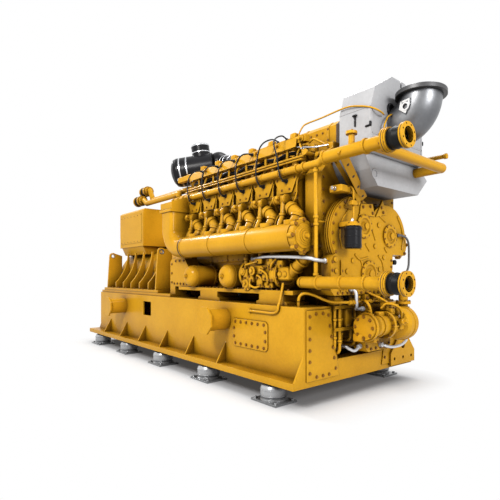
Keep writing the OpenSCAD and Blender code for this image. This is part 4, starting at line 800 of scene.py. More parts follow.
case_webs = [web_on_case(*spots)
    for spots in (((-0.248, 2.293), (-0.135, 2.31), (-0.02, 2.225)), ((0.045, 2.127), (0.11, 2.001)),
        ((-0.104, 1.938), (-0.02, 1.853)), ((0.177, 2.334), (0.336, 2.256)),
        ((0.302, 2.066), (0.336, 1.961), (0.454, 1.919)), ((0.313, 1.906), (0.371, 1.848)),
        ((-0.153, 1.532), (-0.156, 1.63), (-0.2, 1.734)),
        ((-0.44, 2.34), (-0.56, 2.2), (-0.6, 2.02), (-0.56, 1.86)),
        ((-0.32, 1.8), (-0.22, 1.74), (-0.05, 1.77)), ((0.17, 1.8), (0.26, 1.72), (0.3, 1.6)),
        ((0.62, 2.35), (0.72, 2.21), (0.76, 2.04), (0.73, 1.9)),
        ((-0.48, 1.34), (-0.45, 1.45), (-0.36, 1.52)), ((0.16, 1.36), (0.26, 1.42), (0.4, 1.42)))]
case_webs += [ring((s, -0.29, 2.04), front, 0.44, 0.484, 0.014, 96) for s in (6.935, 6.968, 7.0)]
round_pads = [turned([(-0.01, 0.03), (0.012, 0.03), (0.016, 0.022)], (case_x, y, z), front, 18)
    for y, z in ((0.419, 2.093), (-0.36, 1.72), (0.2, 1.62), (0.28, 1.5), (-0.42, 1.95),
        (-0.674, 1.591), (-0.47, 1.587), (0.3, 1.78), (0.1, 1.92), (-0.2, 1.9), (0.18, 2.2),
        (-0.45, 2.12))]


def rect(a0, b0, a1, b1):
    """Outline of a rectangle, from the corner a0, b0 to the corner a1, b1."""
    return [(a0, b0), (a1, b0), (a1, b1), (a0, b1)]


case_ribs = [plate(outline, case_x - 0.01, case_x + rise, 0)
    for outline, rise in ((rect(-0.6, 1.72, -0.585, 1.34), 0.022),
        ([(0.1, 1.38), (0.4, 1.4), (0.4, 1.385), (0.1, 1.365)], 0.022),
        (rect(-0.56, 1.5, -0.24, 1.486), 0.02))]
piece("gear_case_webs", case_webs + round_pads + case_ribs)
lift_plates = [plate(outline, case_x + low, case_x + high, 0)
    for outline, low, high in (([(0.102, 2.302), (0.259, 2.542), (0.351, 2.352)], -0.02, 0.016),
        ([(-0.215, 2.435), (0.037, 2.464), (0.08, 2.3), (-0.235, 2.295)], -0.02, 0.016),
        ([(-0.53, 2.36), (-0.43, 2.5), (-0.3, 2.5), (-0.34, 2.34)], -0.04, 0.01))]
piece("lifting_plates", lift_plates, edge=0.004)
piece("lifting_plate_bolts",
    [bolt_heads([(case_x + 0.016, 0.225, 2.432), (case_x + 0.016, 0.262, 2.37),
                (case_x + 0.016, -0.17, 2.4), (case_x + 0.016, -0.02, 2.42),
                (case_x + 0.016, 0.03, 2.34), (case_x + 0.01, -0.42, 2.44),
                (case_x + 0.01, -0.34, 2.44)], front, 0.034)], bolt_shade_paint)
front_fittings = [pipe([(7.15, -0.545, 2.15), (7.15, -0.51, 2.2), (7.15, -0.497, 2.28),
            (7.15, -0.497, 2.5), (7.135, -0.497, 2.575), (7.06, -0.497, 2.61), (6.89, -0.497, 2.615)],
        0.014),
    cast_block((7.15, -0.497, 2.4), (0.06, 0.1, 0.06)),
    fitting((7.15, -0.455, 2.4), far, [(0.03, 0.02), (0.055, 0.028)], 0.002, 6),
    cast_block((7.06, -0.66, 2.555), (0.2, 0.13, 0.09), 0.3),
    cast_block((7.06, -0.53, 2.56), (0.12, 0.09, 0.07), 0.3),
    fitting((7.06, -0.5, 2.555), far, [(0.03, 0.036), (0.08, 0.026), (0.11, 0.036)], 0.004, 14),
    band((7.02, -0.692, 1.727), front, 0.028, 0.036, 0.034, 0.004, 6),
    cast_block((6.955, -0.735, 1.715), (0.08, 0.09, 0.07), 0.4)]
piece("front_fittings", front_fittings, edge=0.002)
black_plug = turned([(0.0, 0.026), (0.1, 0.026), (0.105, 0.034), (0.135, 0.034), (0.14, 0.022)],
    (6.88, 0.6, 1.72), front, 16)
piece("sensor_plug", [black_plug], black_paint)
piece("gauge_fittings",
    [fitting((7.06, -0.78, 2.555), far, [(0.012, 0.024), (0.045, 0.018), (0.06, 0.025)], 0.002, 6),
        fitting((7.15, -0.527, 2.172), (0.0, 0.35, 0.9), [(0.02, 0.022), (0.04, 0.016)], 0.002, 6)],
    bright_steel)

# Canister: a spun black can under its painted bracket, with a hexagon crimped at its foot.
coat_nodes(black_paint, "oil_canister")
can_x, can_y = 7.21, -0.58
piece("canister_beads",
    [band((can_x, can_y, z), up, 0.096, 0.103, 0.018, 0.004, 40) for z in (1.885, 1.985)], black_paint)
piece("canister_head",
    [turned([(0.0, 0.06), (0.006, 0.084), (0.022, 0.084), (0.04, 0.056), (0.055, 0.05), (0.06, 0.03)],
            (can_x, can_y, 2.108), up, 32),
        cast_block((7.11, -0.58, 2.14), (0.19, 0.11, 0.066), 0.35)])

# Riser between the two coolant lines, clamped to the housing, and the grey hooked hose.
riser = turned([(0.0, 0.025), (1.268, 0.025)], (6.92, -0.9, 1.527), up, 20)
riser_collars = [turned([(0.0, 0.026), (0.003, 0.034), (h, 0.034), (h + 0.003, 0.026)],
        (6.92, -0.9, z), up, 20)
    for z, h in ((1.535, 0.03), (2.12, 0.03), (2.205, 0.03), (2.74, 0.035))]
riser_stay = tube([(6.92, -0.9, 2.17), (6.92, -0.82, 2.172), (6.915, -0.745, 2.175)], 0.014)
riser_pipe = piece("riser_pipe", [riser, riser_stay] + riser_collars)
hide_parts("small_pipes")
hose_grey = finish("hose_grey", (0.1, 0.1, 0.105), (0.15, 0.15, 0.155), (0.02, 0.02, 0.02),
    (0.24, 0.24, 0.24), (0.35, 0.5), bump=0.35, grain=90.0, radius=0.002)
hooked_hose = piece("hooked_hose",
    [pipe([(7.02, 0.6, 2.09), (7.06, 0.603, 2.092), (7.085, 0.65, 2.088), (7.085, 0.74, 2.072),
                (7.085, 0.805, 2.02), (7.083, 0.832, 1.93), (7.08, 0.838, 1.75), (7.07, 0.832, 1.64),
                (7.035, 0.812, 1.56), (7.0, 0.76, 1.522), (6.975, 0.64, 1.503), (6.96, 0.49, 1.497)],
            0.015, 14),
        band((7.028, 0.602, 2.091), front, 0.017, 0.024, 0.043, 0.003, 6),
        band((6.963, 0.545, 1.499), (0.0, -1.0, -0.04), 0.017, 0.024, 0.043, 0.003, 6)], hose_grey)
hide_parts("small_pipes")

# ---- Water pump ----
# Cast pump bolted on the oil pan's front cover, driven from the gear case; steel braided
# drain hoses with crimped ends run below it.
coat_nodes(engine_paint, "water_pump")
pump_x, pump_z = 7.28, 0.93
pump_bolts = [bolt_heads(circle_spots((pump_x, -0.47, pump_z), far, 0.125, 8), near, 0.034),
    bolt_heads(circle_spots((pump_x, -0.08, pump_z), far, 0.15, 12), near, 0.024),
    bolt_circle((pump_x, 0.37, 1.205), up, 0.078, 6, 0.028),
    bolt_heads(rows(((7.07, -0.125, 0.64), (7.07, -0.125, 1.26), 7),
            ((7.07, 0.355, 0.64), (7.07, 0.355, 1.26), 7),
            ((7.07, -0.04, 0.6), (7.07, 0.27, 0.6), 4)), front, 0.034)]
pump_shapes = [band((pump_x, -0.435, pump_z), far, 0.165, 0.172, 0.04, 0.01, 40),
    turned([(0.0, 0.062), (0.02, 0.062), (0.024, 0.1), (0.04, 0.1), (0.044, 0.062)],
        (pump_x, 0.54, pump_z), far, 32),
    band((pump_x, -0.22, pump_z), far, 0.128, 0.14, 0.024, 0.004, 40),
    band((pump_x, 0.3, pump_z), far, 0.212, 0.224, 0.026, 0.004, 48),
    band((pump_x, 0.37, 1.11), up, 0.058, 0.082, 0.03, 0.004, 28),
    *castings(((7.25, 0.06, 1.15), (0.13, 0.19, 0.12), 0.4),
        ((7.4, 0.13, 0.93), (0.07, 0.13, 0.13), 0.5), ((7.11, -0.3, 0.94), (0.12, 0.11, 0.18), 0.4))]
for c, s in ((1.0, 0.0), (0.5, 0.866), (-0.5, 0.866), (-1.0, 0.0), (-0.5, -0.866), (0.5, -0.866)):
    tip, root = (pump_x - 0.17 * c, pump_z + 0.17 * s), (pump_x - 0.07 * c, pump_z + 0.07 * s)
    pump_shapes.append(plate([tip, root, (root[0] + 0.014 * s, root[1] + 0.014 * c),
                (tip[0] + 0.014 * s, tip[1] + 0.014 * c)], -0.09, 0.01, 1))
pump_shapes += [*castings(((7.19, -0.42, 0.8), (0.15, 0.12, 0.1), 0.35),
        ((7.19, -0.2, 0.76), (0.17, 0.11, 0.09), 0.35), ((7.28, -0.16, 1.055), (0.09, 0.12, 0.09), 0.35),
        ((7.3, 0.03, 1.09), (0.12, 0.09, 0.09), 0.35)),
    fitting((7.28, -0.33, 1.0), (0.0, -0.2, 1.0), [(0.05, 0.03), (0.075, 0.042), (0.13, 0.026)], 0.004,
        14),
    fitting((7.43, 0.05, 0.96), (1.0, 0.0, 0.3), [(0.04, 0.03), (0.065, 0.04), (0.11, 0.024)], 0.004,
        14),
    pipe([(7.28, -0.33, 1.1), (7.27, -0.36, 1.19), (7.2, -0.33, 1.23), (7.13, -0.26, 1.22),
            (7.09, -0.2, 1.21)], 0.017),
    pipe([(7.3, 0.03, 1.13), (7.28, 0.0, 1.2), (7.2, -0.05, 1.26), (7.1, -0.07, 1.3),
            (7.03, -0.08, 1.33)], 0.017),
    pipe([(7.4, 0.13, 0.99), (7.42, 0.1, 1.1), (7.4, 0.02, 1.17), (7.31, -0.06, 1.19),
            (7.26, -0.1, 1.13)], 0.015)]
piece("pump_castings", pump_shapes, edge=0.002)
pump_bolts.append(bolt_heads([(7.265, -0.42, 0.83), (7.265, -0.42, 0.77), (7.275, -0.22, 0.79),
            (7.275, -0.18, 0.73), (7.315, 0.02, 1.17), (7.315, 0.1, 1.13)], front, 0.026))
front_lines = []
for y, s0, z0 in ((-0.545, 6.9, 0.62), (-0.49, 6.93, 0.58), (-0.43, 6.9, 0.66), (-0.255, 6.91, 0.72),
        (-0.205, 6.94, 0.66)):
    front_lines.append(pipe([(6.69, y, z0), (s0 - 0.06, y, z0), (s0 - 0.01, y, z0 + 0.03),
                (s0, y, z0 + 0.1), (s0, y, 0.95), (s0, y, 1.23), (s0, y, 1.31)], 0.021, 12))
    for z in (z0 + 0.14, 0.98, 1.22):
        front_lines.append(band((s0, y, z), up, 0.022, 0.031, 0.031, 0.003, 12))
front_lines += [plate(rect(-0.6, 0.86, -0.17, 0.9), 6.945, 6.957, 0),
    plate(rect(-0.6, 1.13, -0.17, 1.17), 6.945, 6.957, 0),
    cast_block((6.9, -0.345, 1.01), (0.12, 0.11, 0.24), 0.3),
    cast_block((6.9, -0.56, 1.24), (0.13, 0.12, 0.11), 0.3)]
piece("front_lines", front_lines)
piece("pump_bolts", pump_bolts, bolt_shade_paint)
drain_one = smooth([(6.67, -0.38, 0.66), (6.8, -0.38, 0.66), (6.92, -0.378, 0.655),
        (6.978, -0.355, 0.625), (6.997, -0.3, 0.6), (7.0, -0.245, 0.608), (6.998, -0.195, 0.636),
        (6.996, -0.158, 0.648)])
drain_two = smooth([(7.07, 0.15, 0.64), (7.12, 0.155, 0.639), (7.15, 0.195, 0.622), (7.16, 0.29, 0.603),
        (7.16, 0.43, 0.6), (7.155, 0.56, 0.615), (7.135, 0.68, 0.655), (7.08, 0.745, 0.682),
        (6.99, 0.762, 0.69), (6.892, 0.762, 0.69)])
drain_three = smooth([(7.028, -0.409, 1.37), (7.085, -0.409, 1.368), (7.118, -0.405, 1.32),
        (7.12, -0.398, 1.23), (7.108, -0.38, 1.165), (7.07, -0.345, 1.132), (7.045, -0.28, 1.121),
        (7.04, -0.155, 1.12)])
hose_ends = []
for route in (drain_one, drain_two, drain_three):
    for foot, toward in ((route[0], route[1] - route[0]), (route[-1], route[-2] - route[-1])):
        hose_ends.append(turned([(0.0, 0.024), (0.004, 0.03), (0.045, 0.03), (0.049, 0.022)], foot
                + 0.001 * toward, toward, 16))
silver_hoses = piece("silver_hoses",
    [tube(route, 0.019, 14) for route in (drain_one, drain_two, drain_three)] + hose_ends, hose_silver)
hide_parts("small_pipes")

# ---- Exhaust casing and gas rails ----
# Folded steel panels over the lagged exhaust, screwed to bands, and square gas rails with a
# valve for each cylinder. The end of the casing is closed by a bolted ring.
coat_nodes(engine_paint, "exhaust_casing", "gas_rails")


def casing_loop(top, grow):
    """Outline of the casing across the engine, grown outwards by the given amount."""
    half = 0.21 + grow
    return [(-half, 2.86), (half, 2.86), (half, top - 0.07), (0.13 + 0.5 * grow, top + grow),
        (-0.13 - 0.5 * grow, top + grow), (-half, top - 0.07)]


casing_bands = [plate(casing_loop(top, 0.007), s - 0.018, s + 0.018, 0)
    for s, top in ((3.9, 3.33), (4.27, 3.33), (4.6, 3.33), (4.7, 3.61), (5.15, 3.61), (5.6, 3.61),
        (6.05, 3.61), (6.5, 3.61))]
casing_bands += [plate(casing_loop(3.61, 0.03), 6.745, 6.775, 0)]
piece("casing_bands", casing_bands, edge=0.002)
# Painted shade: a dark band round the casing stands for the gap before its end ring.
piece("casing_gap", [plate(casing_loop(3.61, 0.003), 6.64, 6.735, 0)], gasket_and_shade)
band_screws = np.concatenate([row((s, -0.217, 2.93), (s, -0.217, top - 0.1), 5)
        for s, top in ((4.27, 3.33), (5.15, 3.61), (5.6, 3.61), (6.05, 3.61), (6.5, 3.61))]
        + [row((4.75, -0.212, 3.48), (6.4, -0.212, 3.48), 16)])
ring_bolts = [(6.775, y, z) for y, z in ((-0.222, 3.02), (-0.222, 3.2), (-0.222, 3.38),
        (-0.222, 3.51), (-0.1, 3.625), (0.1, 3.625))]
casing_bolts = [bolt_heads(band_screws, near, 0.024), bolt_heads(band_screws * flip, far, 0.024),
    bolt_heads(ring_bolts, front, 0.026)]
rail_shapes, rail_caps = [], []
for x in cylinder_x:
    rail_shapes += both(cast_block((x - 0.075, -0.62, 3.375), (0.11, 0.09, 0.08), 0.35),
        cast_block((x + 0.085, -0.5, 3.13), (0.15, 0.11, 0.13), 0.3),
        fitting((x + 0.02, -0.7, 2.94), (0.0, 0.25, 1.0), [(0.1, 0.028), (0.13, 0.038)], 0.004, 12),
        pipe([(x + 0.02, -0.668, 3.07), (x + 0.03, -0.655, 3.14), (x + 0.06, -0.64, 3.2),
                (x + 0.07, -0.63, 3.265)], 0.016, 10, 6),
        fitting((x + 0.1, -0.655, 3.3), near, [(0.02, 0.04), (0.07, 0.024)], 0.004, 14))
    casing_bolts += both(bolt_heads([(x - 0.01, -0.62, 3.352), (x + 0.05, -0.62, 3.352)], up, 0.024))
    rail_caps += both(cast_block((x - 0.09, -0.5, 3.11), (0.13, 0.11, 0.15), 0.3),
        fitting((x - 0.09, -0.555, 3.11), near, [(0.03, 0.022), (0.06, 0.015)], 0.002, 12))
for y, z, radius in ((-0.735, 3.04, 0.02), (-0.79, 2.985, 0.014)):
    rail_shapes += both(tube(row((3.7, y, z), (6.58, y, z), 60), radius, 12))
harness_x = row(3.6, 6.45, 90)
sag = harness_x + cad_low[0]
harness = np.stack([harness_x, -0.56 + 0.012 * np.sin(9.0 * sag), 3.175 + 0.014 * np.sin(13.0 * sag)],
    axis=-1)
rail_caps += both(tube(harness, 0.026, 12))
piece("gas_valves", rail_shapes)
# The coils and harness are black: partly their own colour, partly painted shade for the gap between the
# rail and the casing.
piece("coils_and_harness", rail_caps, black_paint)
piece("casing_bolts", casing_bolts, bolt_shade_paint)

# Throttle linkage and fittings between the last rail bracket and the turbochargers.
link_shapes = [*castings(((6.7, -0.56, 3.02), (0.19, 0.12, 0.15), 0.35),
        ((6.56, -0.56, 3.12), (0.11, 0.11, 0.2), 0.35), ((6.8, -0.45, 3.08), (0.12, 0.16, 0.26), 0.3)),
    fitting((6.45, -0.62, 3.0), up, [(0.08, 0.05), (0.11, 0.062), (0.17, 0.04), (0.2, 0.052)], 0.005,
        20),
    fitting((6.6, -0.62, 3.06), (0.0, -1.0, 0.1), [(0.12, 0.03), (0.15, 0.042)], 0.004, 16),
    turned([(0.0, 0.034), (0.16, 0.034)], (6.46, -0.615, 3.1), (1.0, 0.25, 0.15), 16),
    fitting((6.72, -0.618, 3.04), near, [(0.02, 0.045), (0.06, 0.03)], 0.004, 8)]
link_shapes += [pipe(route, 0.013) for route in ([(6.4, -0.64, 3.26), (6.46, -0.7, 3.2),
            (6.52, -0.7, 3.1), (6.6, -0.64, 3.04)],
        [(6.52, -0.6, 3.24), (6.62, -0.62, 3.26), (6.72, -0.58, 3.2), (6.8, -0.52, 3.14)],
        [(6.66, -0.62, 3.0), (6.74, -0.68, 2.96), (6.82, -0.66, 3.02), (6.86, -0.56, 3.1)])]
piece("throttle_linkage", link_shapes, edge=0.002)
piece("linkage_rods",
    [pipe([(6.36, -0.665, 3.21), (6.55, -0.69, 3.16), (6.7, -0.675, 3.13), (6.85, -0.6, 3.14)], 0.01),
        fitting((6.5, -0.665, 3.15), near, [(0.03, 0.018), (0.06, 0.012)], 0.002, 8)], bright_steel)

# Flat cable tray over the heads, folded from sheet, on a bracket at each cylinder.
tray_shapes = []
for side in (-1.0, 1.0):
    y0, y1 = sorted((side * 0.665, side * 0.6))
    tray_shapes.append(plate(rect(y0, 3.205, y1, 3.213), 3.62, 6.5, 0))
for x in cylinder_x:
    tray_shapes += both(plate(rect(-0.66, 2.92, -0.645, 3.205), x - 0.2, x - 0.16, 0))
for start, stop in zip(cylinder_x - 0.42, cylinder_x + 0.02):
    tray_shapes += both(plate([(-0.668, 3.34), (-0.696, 3.207), (-0.688, 3.207), (-0.662, 3.34)], start,
            stop, 0))
piece("cable_trays", tray_shapes)

# ---- Ignition leads ----
# Silicone leads from sockets on the gas rail, over the coolant line, to black boots in the
# funnels. The last two loop a little above the rail.
lead_sheath = finish("lead_sheath", (0.012, 0.012, 0.014), (0.02, 0.02, 0.022), (0.005, 0.005, 0.005),
    (0.04, 0.04, 0.04), (0.35, 0.5), bump=0.3, radius=0.002, gloss=0.14)
boots, leads = [], []
for i, x in enumerate(cylinder_x):
    boots += both(turned([(0.0, 0.03), (0.012, 0.03), (0.016, 0.021), (0.045, 0.021), (0.05, 0.017),
                (0.075, 0.015), (0.08, 0.012)], (x + 0.015, -0.845, 2.735), near, 16))
    route = [(x + 0.015, -0.85, 2.735), (x + 0.012, -0.915, 2.745), (x + 0.008, -0.962, 2.8),
        (x, -0.976, 2.9)]
    if i < 4:
        route += [(x - 0.02, -0.97, 3.05), (x - 0.02, -0.93, 3.18), (x - 0.015, -0.85, 3.27),
            (x - 0.008, -0.76, 3.3), (x - 0.004, -0.7, 3.305)]
        boots += both(turned([(0.0, 0.026), (0.03, 0.026), (0.034, 0.018), (0.07, 0.015),
                    (0.074, 0.012)], (x - 0.004, -0.66, 3.3), near, 16))
    else:
        lean = (0.045, -0.146)[i - 4]
        rail_end = x + (0.063, -0.214)[i - 4]
        route += [(x + 0.24 * lean, -0.972, 3.04), (x + 0.72 * lean, -0.955, 3.19),
            (x + lean, -0.915, 3.28), (x + 1.2 * lean, -0.84, 3.345), (0.3 * (x + lean)
            + 0.7 * rail_end, -0.74, 3.388), (rail_end, -0.665, 3.385), (rail_end, -0.63, 3.365)]
        boots += both(turned([(0.0, 0.028), (0.02, 0.028), (0.024, 0.018), (0.04, 0.014)],
                (rail_end, -0.622, 3.348), (0.0, -0.45, 0.9), 16))
    leads += both(pipe(route, 0.01, 10, 5))
piece("lead_boots", boots, lead_sheath)
plug_leads = piece("plug_leads", leads, lead_sheath)
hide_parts("ignition_leads")

# ---- Coolant lines ----
# Welded steel pipe with slip-on flanges, rubber bellows between them, and the collecting pipe
# clamped over the heads.
coat_nodes(engine_paint, "coolant_pipes", "outlet_flanges", "front_bracket")
bellows_rubber = finish("bellows_rubber", (0.006, 0.006, 0.006), (0.012, 0.012, 0.012),
    (0.004, 0.004, 0.004), (0.04, 0.04, 0.04), (0.35, 0.5), bump=0.4, gloss=0.14)
coat_nodes(bellows_rubber, "bellows")
coolant_spots = ((-0.9, 1.457), (-0.9, 2.88))
port_spots = ((1.05, -0.52, 3.2), (1.093, -0.4, 3.42))
flange_bolts, flange_rings, folds, flange_gaps = [], [], [], []
eighth = math.pi / 8.0
for y, z in coolant_spots:
    flange_bolts += [bolt_circle((7.916, y, z), front, 0.108, 8, 0.03, eighth),
        bolt_heads(circle_spots((7.872, y, z), front, 0.108, 8, eighth), back, 0.03)]
    flange_rings += [turned([(0.0, 0.072), (0.02, 0.082), (0.03, 0.1), (0.034, 0.1)], (7.84, y, z),
            front, 40), ring((7.917, y, z), front, 0.08, 0.121, 0.02, 48)]
    folds += [ring((s, y, z), front, 0.085, 0.106, 0.008, 48) for s in (7.938, 8.06)]
    flange_gaps += [ring((s, y, z), front, 0.119, 0.1262, 0.007, 64) for s in (7.89, 8.104)]
    flange_rings.append(ring((8.126, y, z), front, 0.0655, 0.078, 0.004, 48))
for s, y, z in port_spots:
    flange_bolts.append(bolt_heads(circle_spots((s + 0.1926, y, z), front, 0.097, 8, eighth), back,
            0.027))
    flange_rings.append(ring((s + 0.176, y, z), front, 0.072, 0.109, 0.018, 48))
    folds += [ring((s + d, y, z), front, 0.078, 0.096, 0.008, 48) for d in (0.055, 0.165)]
    flange_rings += [ring((s + d, y, z), front, 0.054, 0.093, 0.02, 48) for d in (0.262, 0.29)]
    flange_bolts.append(bolt_circle((s + 0.3, y, z), front, 0.076, 8, 0.024, eighth))
flange_bolts.append(bolt_circle((7.442, -0.9, 3.08), up, 0.046, 4, 0.022, 0.8))
flange_rings += [band((s, -0.9, 2.88), front, 0.072, 0.084, 0.03, 0.004, 40) for s in (7.05, 7.62)]
flange_rings += [band((s, -0.9, 1.457), front, 0.072, 0.084, 0.03, 0.004, 40)
    for s in (6.95, 7.3, 7.62)]
collector_bands = []
for x in cylinder_x:
    for dx in (-0.06, 0.06):
        collector_bands.append(band((x + dx - 0.01, -0.9, 2.84), front, 0.044, 0.052, 0.021, 0.003, 28))
    flange_bolts.append(bolt_heads([(x - 0.012, -0.945, 2.8), (x + 0.012, -0.945, 2.8)], near, 0.02))
collector_bands += [band((s, -0.9, 2.84), front, 0.044, 0.06, 0.028, 0.004, 28) for s in (6.6, 6.72)]
piece("flange_rings", flange_rings)
piece("collector_bands", collector_bands)
piece("bellows_beads", folds, bellows_rubber)
piece("flange_gaskets", flange_gaps, gasket_and_shade)
piece("flange_bolts", flange_bolts, bolt_shade_paint)


def flat_bar(path, face, width, thick):
    """Flat section carried along a path: centre +- half the width * (face x ahead) +- half the
    thickness * face."""
    path = np.asarray(path, float)
    ahead = np.gradient(path, axis=0)
    ahead /= np.linalg.norm(ahead, axis=1, keepdims=True)
    side = np.cross(face, ahead)
    side *= 0.5 * width / np.linalg.norm(side, axis=1, keepdims=True)
    out = np.cross(ahead, side)
    out *= 0.5 * thick / np.linalg.norm(out, axis=1, keepdims=True)
    points = np.stack([path + side + out, path - side + out, path - side - out, path + side - out],
        axis=1)
    return points.reshape(-1, 3), grid_faces(len(path), 4)


strap_face = np.array([0.775, 0.0, -0.632])
strap_top, strap_foot = np.array([7.355, -0.975, 2.89]), np.array([7.05, -0.16, 2.505])
strap_line = row(strap_top, strap_foot, 12)
piece("pipe_strap", [flat_bar(strap_line, strap_face, 0.1, 0.012)], edge=0.003)
hole_spots = [strap_top + share * (strap_foot - strap_top) for share in (0.06, 0.27, 0.5, 0.72, 0.93)]
# Painted shade: the strap's holes are not cut, and dark discs on its face stand for them.
strap_holes = [turned([(0.0, 0.018), (0.0015, 0.018)], spot + 0.0055 * strap_face, strap_face, 16)
    for spot in hole_spots]
piece("strap_holes", strap_holes, gasket_and_shade)
piece("vent_pipe",
    [pipe([(7.2, 0.545, 3.06), (7.25, 0.585, 3.06), (7.33, 0.625, 3.058), (7.45, 0.64, 3.055),
                (7.72, 0.64, 3.05)], 0.027, 16),
        turned([(0.0, 0.027), (0.004, 0.035), (0.038, 0.035), (0.042, 0.026)], (7.7, 0.64, 3.05), front,
            16)])

# ---- Turbocharger cover and tray ----
# Folded sheet steel, powder coated light grey. Its panels are latched together, over a
# slightly darker tray whose corners take a near-black painted shade.
cover_sheet = finish("cover_sheet", (0.43, 0.43, 0.44), (0.49, 0.49, 0.5), (0.22, 0.22, 0.23),
    (0.78, 0.78, 0.79), (0.38, 0.5), bump=0.08)
tray_sheet = finish("tray_sheet", (0.4, 0.4, 0.41), (0.47, 0.47, 0.48), (0.035, 0.035, 0.037),
    (0.62, 0.62, 0.63), (0.38, 0.5), bump=0.08, gloss=0.3, painted_shade_share=1.0)
coat_nodes(cover_sheet, "turbo_cover")
coat_nodes(tray_sheet, "turbo_tray")
cover_x0, cover_x1 = 6.985, 7.443
seams = []
for side in (-1.0, 1.0):
    seams += [plate(rect(cover_x0 + 0.006, 3.452, cover_x1 - 0.004, 3.462),
            *sorted((side * 0.551, side * 0.557)), 1),
        plate(rect(cover_x1 - 0.03, 2.96, cover_x1 - 0.006, 3.44),
            *sorted((side * 0.551, side * 0.556)), 1),
        plate([(side * 0.548, 2.955), (side * 0.52, 2.955), (side * 0.52, 3.45), (side * 0.548, 3.46)],
            cover_x1 - 0.002, cover_x1 + 0.004, 0),
        plate(rect(side * 0.54, 3.15, side * 0.045, 3.163), cover_x1 - 0.002, cover_x1 + 0.004, 0)]
piece("cover_seams", seams, cover_sheet, edge=0.001)
latches = []
for side in (-1.0, 1.0):
    latches += [*castings(((7.222, side * 0.558, 3.33), (0.022, 0.018, 0.12), 0.3),
            ((7.222, side * 0.566, 3.395), (0.06, 0.03, 0.02), 0.3),
            ((7.41, side * 0.558, 3.236), (0.09, 0.018, 0.02), 0.3),
            ((7.44, side * 0.56, 3.255), (0.022, 0.03, 0.05), 0.3))]
piece("cover_latches", latches, black_paint)
outlet_pads = [turned([(0.0, 0.085), (0.01, 0.083), (0.014, 0.07), (0.02, 0.066)],
        (cover_x1 - 0.002, -0.16, 3.5), front, 36),
    turned([(0.0, 0.06), (0.02, 0.058), (0.024, 0.045), (0.045, 0.04)], (cover_x1 - 0.002, -0.13, 3.35),
        front, 30)]
piece("outlet_seals", outlet_pads, black_paint)
piece("sensing_tubes",
    [pipe([(6.362, -0.64, 3.33), (6.368, -0.625, 3.4), (6.41, -0.6, 3.48), (6.48, -0.585, 3.505),
                (6.7, -0.57, 3.515), (6.98, -0.563, 3.532), (7.12, -0.562, 3.53), (7.26, -0.562, 3.5),
                (7.43, -0.56, 3.44), (7.5, -0.5, 3.4), (7.505, -0.42, 3.385), (7.48, -0.36, 3.39)],
            0.01, 10),
        pipe([(7.5, -0.385, 3.23), (7.5, -0.36, 3.29), (7.5, -0.3, 3.375), (7.5, -0.19, 3.432),
                (7.5, -0.085, 3.44), (7.5, -0.02, 3.4), (7.495, 0.0, 3.33), (7.46, 0.01, 3.28)], 0.01,
            10),
        pipe([(7.5, -0.385, 3.23), (7.5, -0.4, 3.16), (7.49, -0.42, 3.08), (7.446, -0.43, 3.04)], 0.01,
            10)])
tray_ring = [ring((7.385, -0.4, 2.72), front, 0.04, 0.06, 0.006, 28)]
piece("tray_ring", tray_ring, tray_sheet)

# ---- Exhaust outlet ----
# Pressed stainless bend with a turned lip, dull inside, and a lifting plate on its side.
exhaust_steel = finish("exhaust_steel", (0.2, 0.205, 0.215), (0.31, 0.315, 0.325), (0.04, 0.04, 0.045),
    (0.6, 0.61, 0.63), (0.34, 0.44), metal=1.0, radius=0.003)
coat_nodes(exhaust_steel, "exhaust_elbow")
lip_steel = finish("lip_steel", (0.07, 0.07, 0.072), (0.11, 0.11, 0.112), (0.02, 0.02, 0.02),
    (0.24, 0.24, 0.25), (0.34, 0.48), metal=0.6)
lip_x = cover_x1 + 0.3
piece("exhaust_lip", [ring((lip_x, 0.0, 3.612), up, 0.243, 0.292, 0.044, 72)], lip_steel)
eye_paint = finish("eye_paint", (0.7, 0.7, 0.7), (0.78, 0.78, 0.78), (0.2, 0.2, 0.2), (0.9, 0.9, 0.9),
    (0.35, 0.5), radius=0.002)
eye_x, eye_z = cover_x1 + 0.25, 3.45
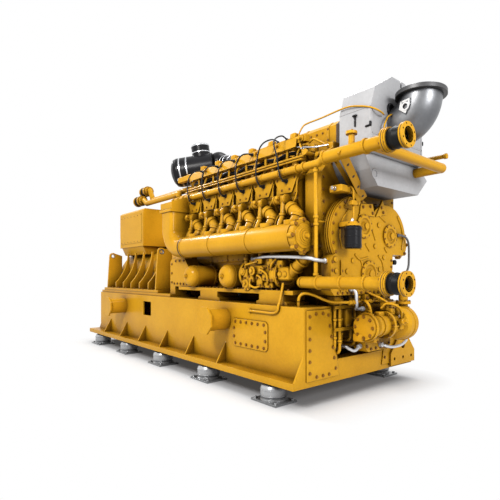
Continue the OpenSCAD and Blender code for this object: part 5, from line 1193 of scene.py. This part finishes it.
piece("eye_plate",
    [ring((eye_x, -0.255, eye_z), near, 0.031, 0.05, 0.006, 36),
        plate([(eye_x - 0.078, eye_z - 0.019), (eye_x, eye_z - 0.08), (eye_x + 0.02, eye_z - 0.055),
                (eye_x - 0.05, eye_z + 0.002), (eye_x - 0.035, eye_z + 0.065),
                (eye_x - 0.058, eye_z + 0.067)], -0.26, -0.253, 1),
        plate([(eye_x - 0.035, eye_z + 0.05), (eye_x + 0.058, eye_z + 0.055),
                (eye_x + 0.058, eye_z + 0.078), (eye_x - 0.055, eye_z + 0.068)], -0.26, -0.253, 1),
        plate([(eye_x + 0.036, eye_z + 0.055), (eye_x + 0.036, eye_z - 0.03),
                (eye_x + 0.058, eye_z + 0.008), (eye_x + 0.058, eye_z + 0.055)], -0.26, -0.253, 1)],
    eye_paint)

# ---- Air filter ----
# Spun steel drum, black enamelled, closed by bright clamp bands, with a rain hood and a
# rubber-sleeved duct to the casing.
coat_nodes(black_paint, "air_filter")
drum_foot = np.array([2.696, -0.45, 3.56])
drum_way = np.array([0.667, 0.7275, 0.1617])
hood_way = np.array([-0.1093, -0.1192, 0.9868])
mouth = drum_foot + 0.56 * drum_way + 0.465 * hood_way
clamp_lugs = [cast_block(drum_foot + l * drum_way + [0.13, -0.16, -0.19],
        (0.05, 0.05, 0.05)) for l in (0.14, 0.27)]
piece("drum_bands",
    [band(drum_foot + l * drum_way, drum_way, 0.274, 0.285, 0.028, 0.002, 72) for l in (0.12, 0.26)]
        + clamp_lugs, bright_steel)
piece("hood_rim",
    [ring(mouth - 0.03 * hood_way, hood_way, 0.162, 0.18, 0.026, 56),
        ring(mouth - 0.16 * hood_way, hood_way, 0.172, 0.179, 0.016, 56)], bright_steel)
piece("hood_mesh",
    [turned([(0.0, 0.156), (0.004, 0.156), (0.02, 0.13), (0.028, 0.06), (0.03, 0.01)],
            mouth - 0.08 * hood_way, hood_way, 40)], black_paint)
duct_way = np.array([0.43, -0.02, -0.08])
duct_way /= np.linalg.norm(duct_way)
duct_foot = np.array([3.223, 0.222, 3.785])
fall_way = np.array([0.827, -0.202, -0.225])
fall_way /= np.linalg.norm(fall_way)
fall_foot = np.array([3.653, 0.202, 3.705])
piece("duct_clips",
    [band(duct_foot + d * duct_way, duct_way, 0.13, 0.142, 0.024, 0.004, 48) for d in (0.225, 0.33)]
        + [band(fall_foot + d * fall_way, fall_way, 0.13, 0.142, 0.024, 0.004, 48)
            for d in (0.1, 0.72)], bright_steel)
piece("duct_sleeves",
    [band(duct_foot + 0.24 * duct_way, duct_way, 0.134, 0.1385, 0.1, 0.01, 48),
        band(fall_foot + 0.56 * fall_way, fall_way, 0.134, 0.1385, 0.18, 0.01, 48)], bellows_rubber)
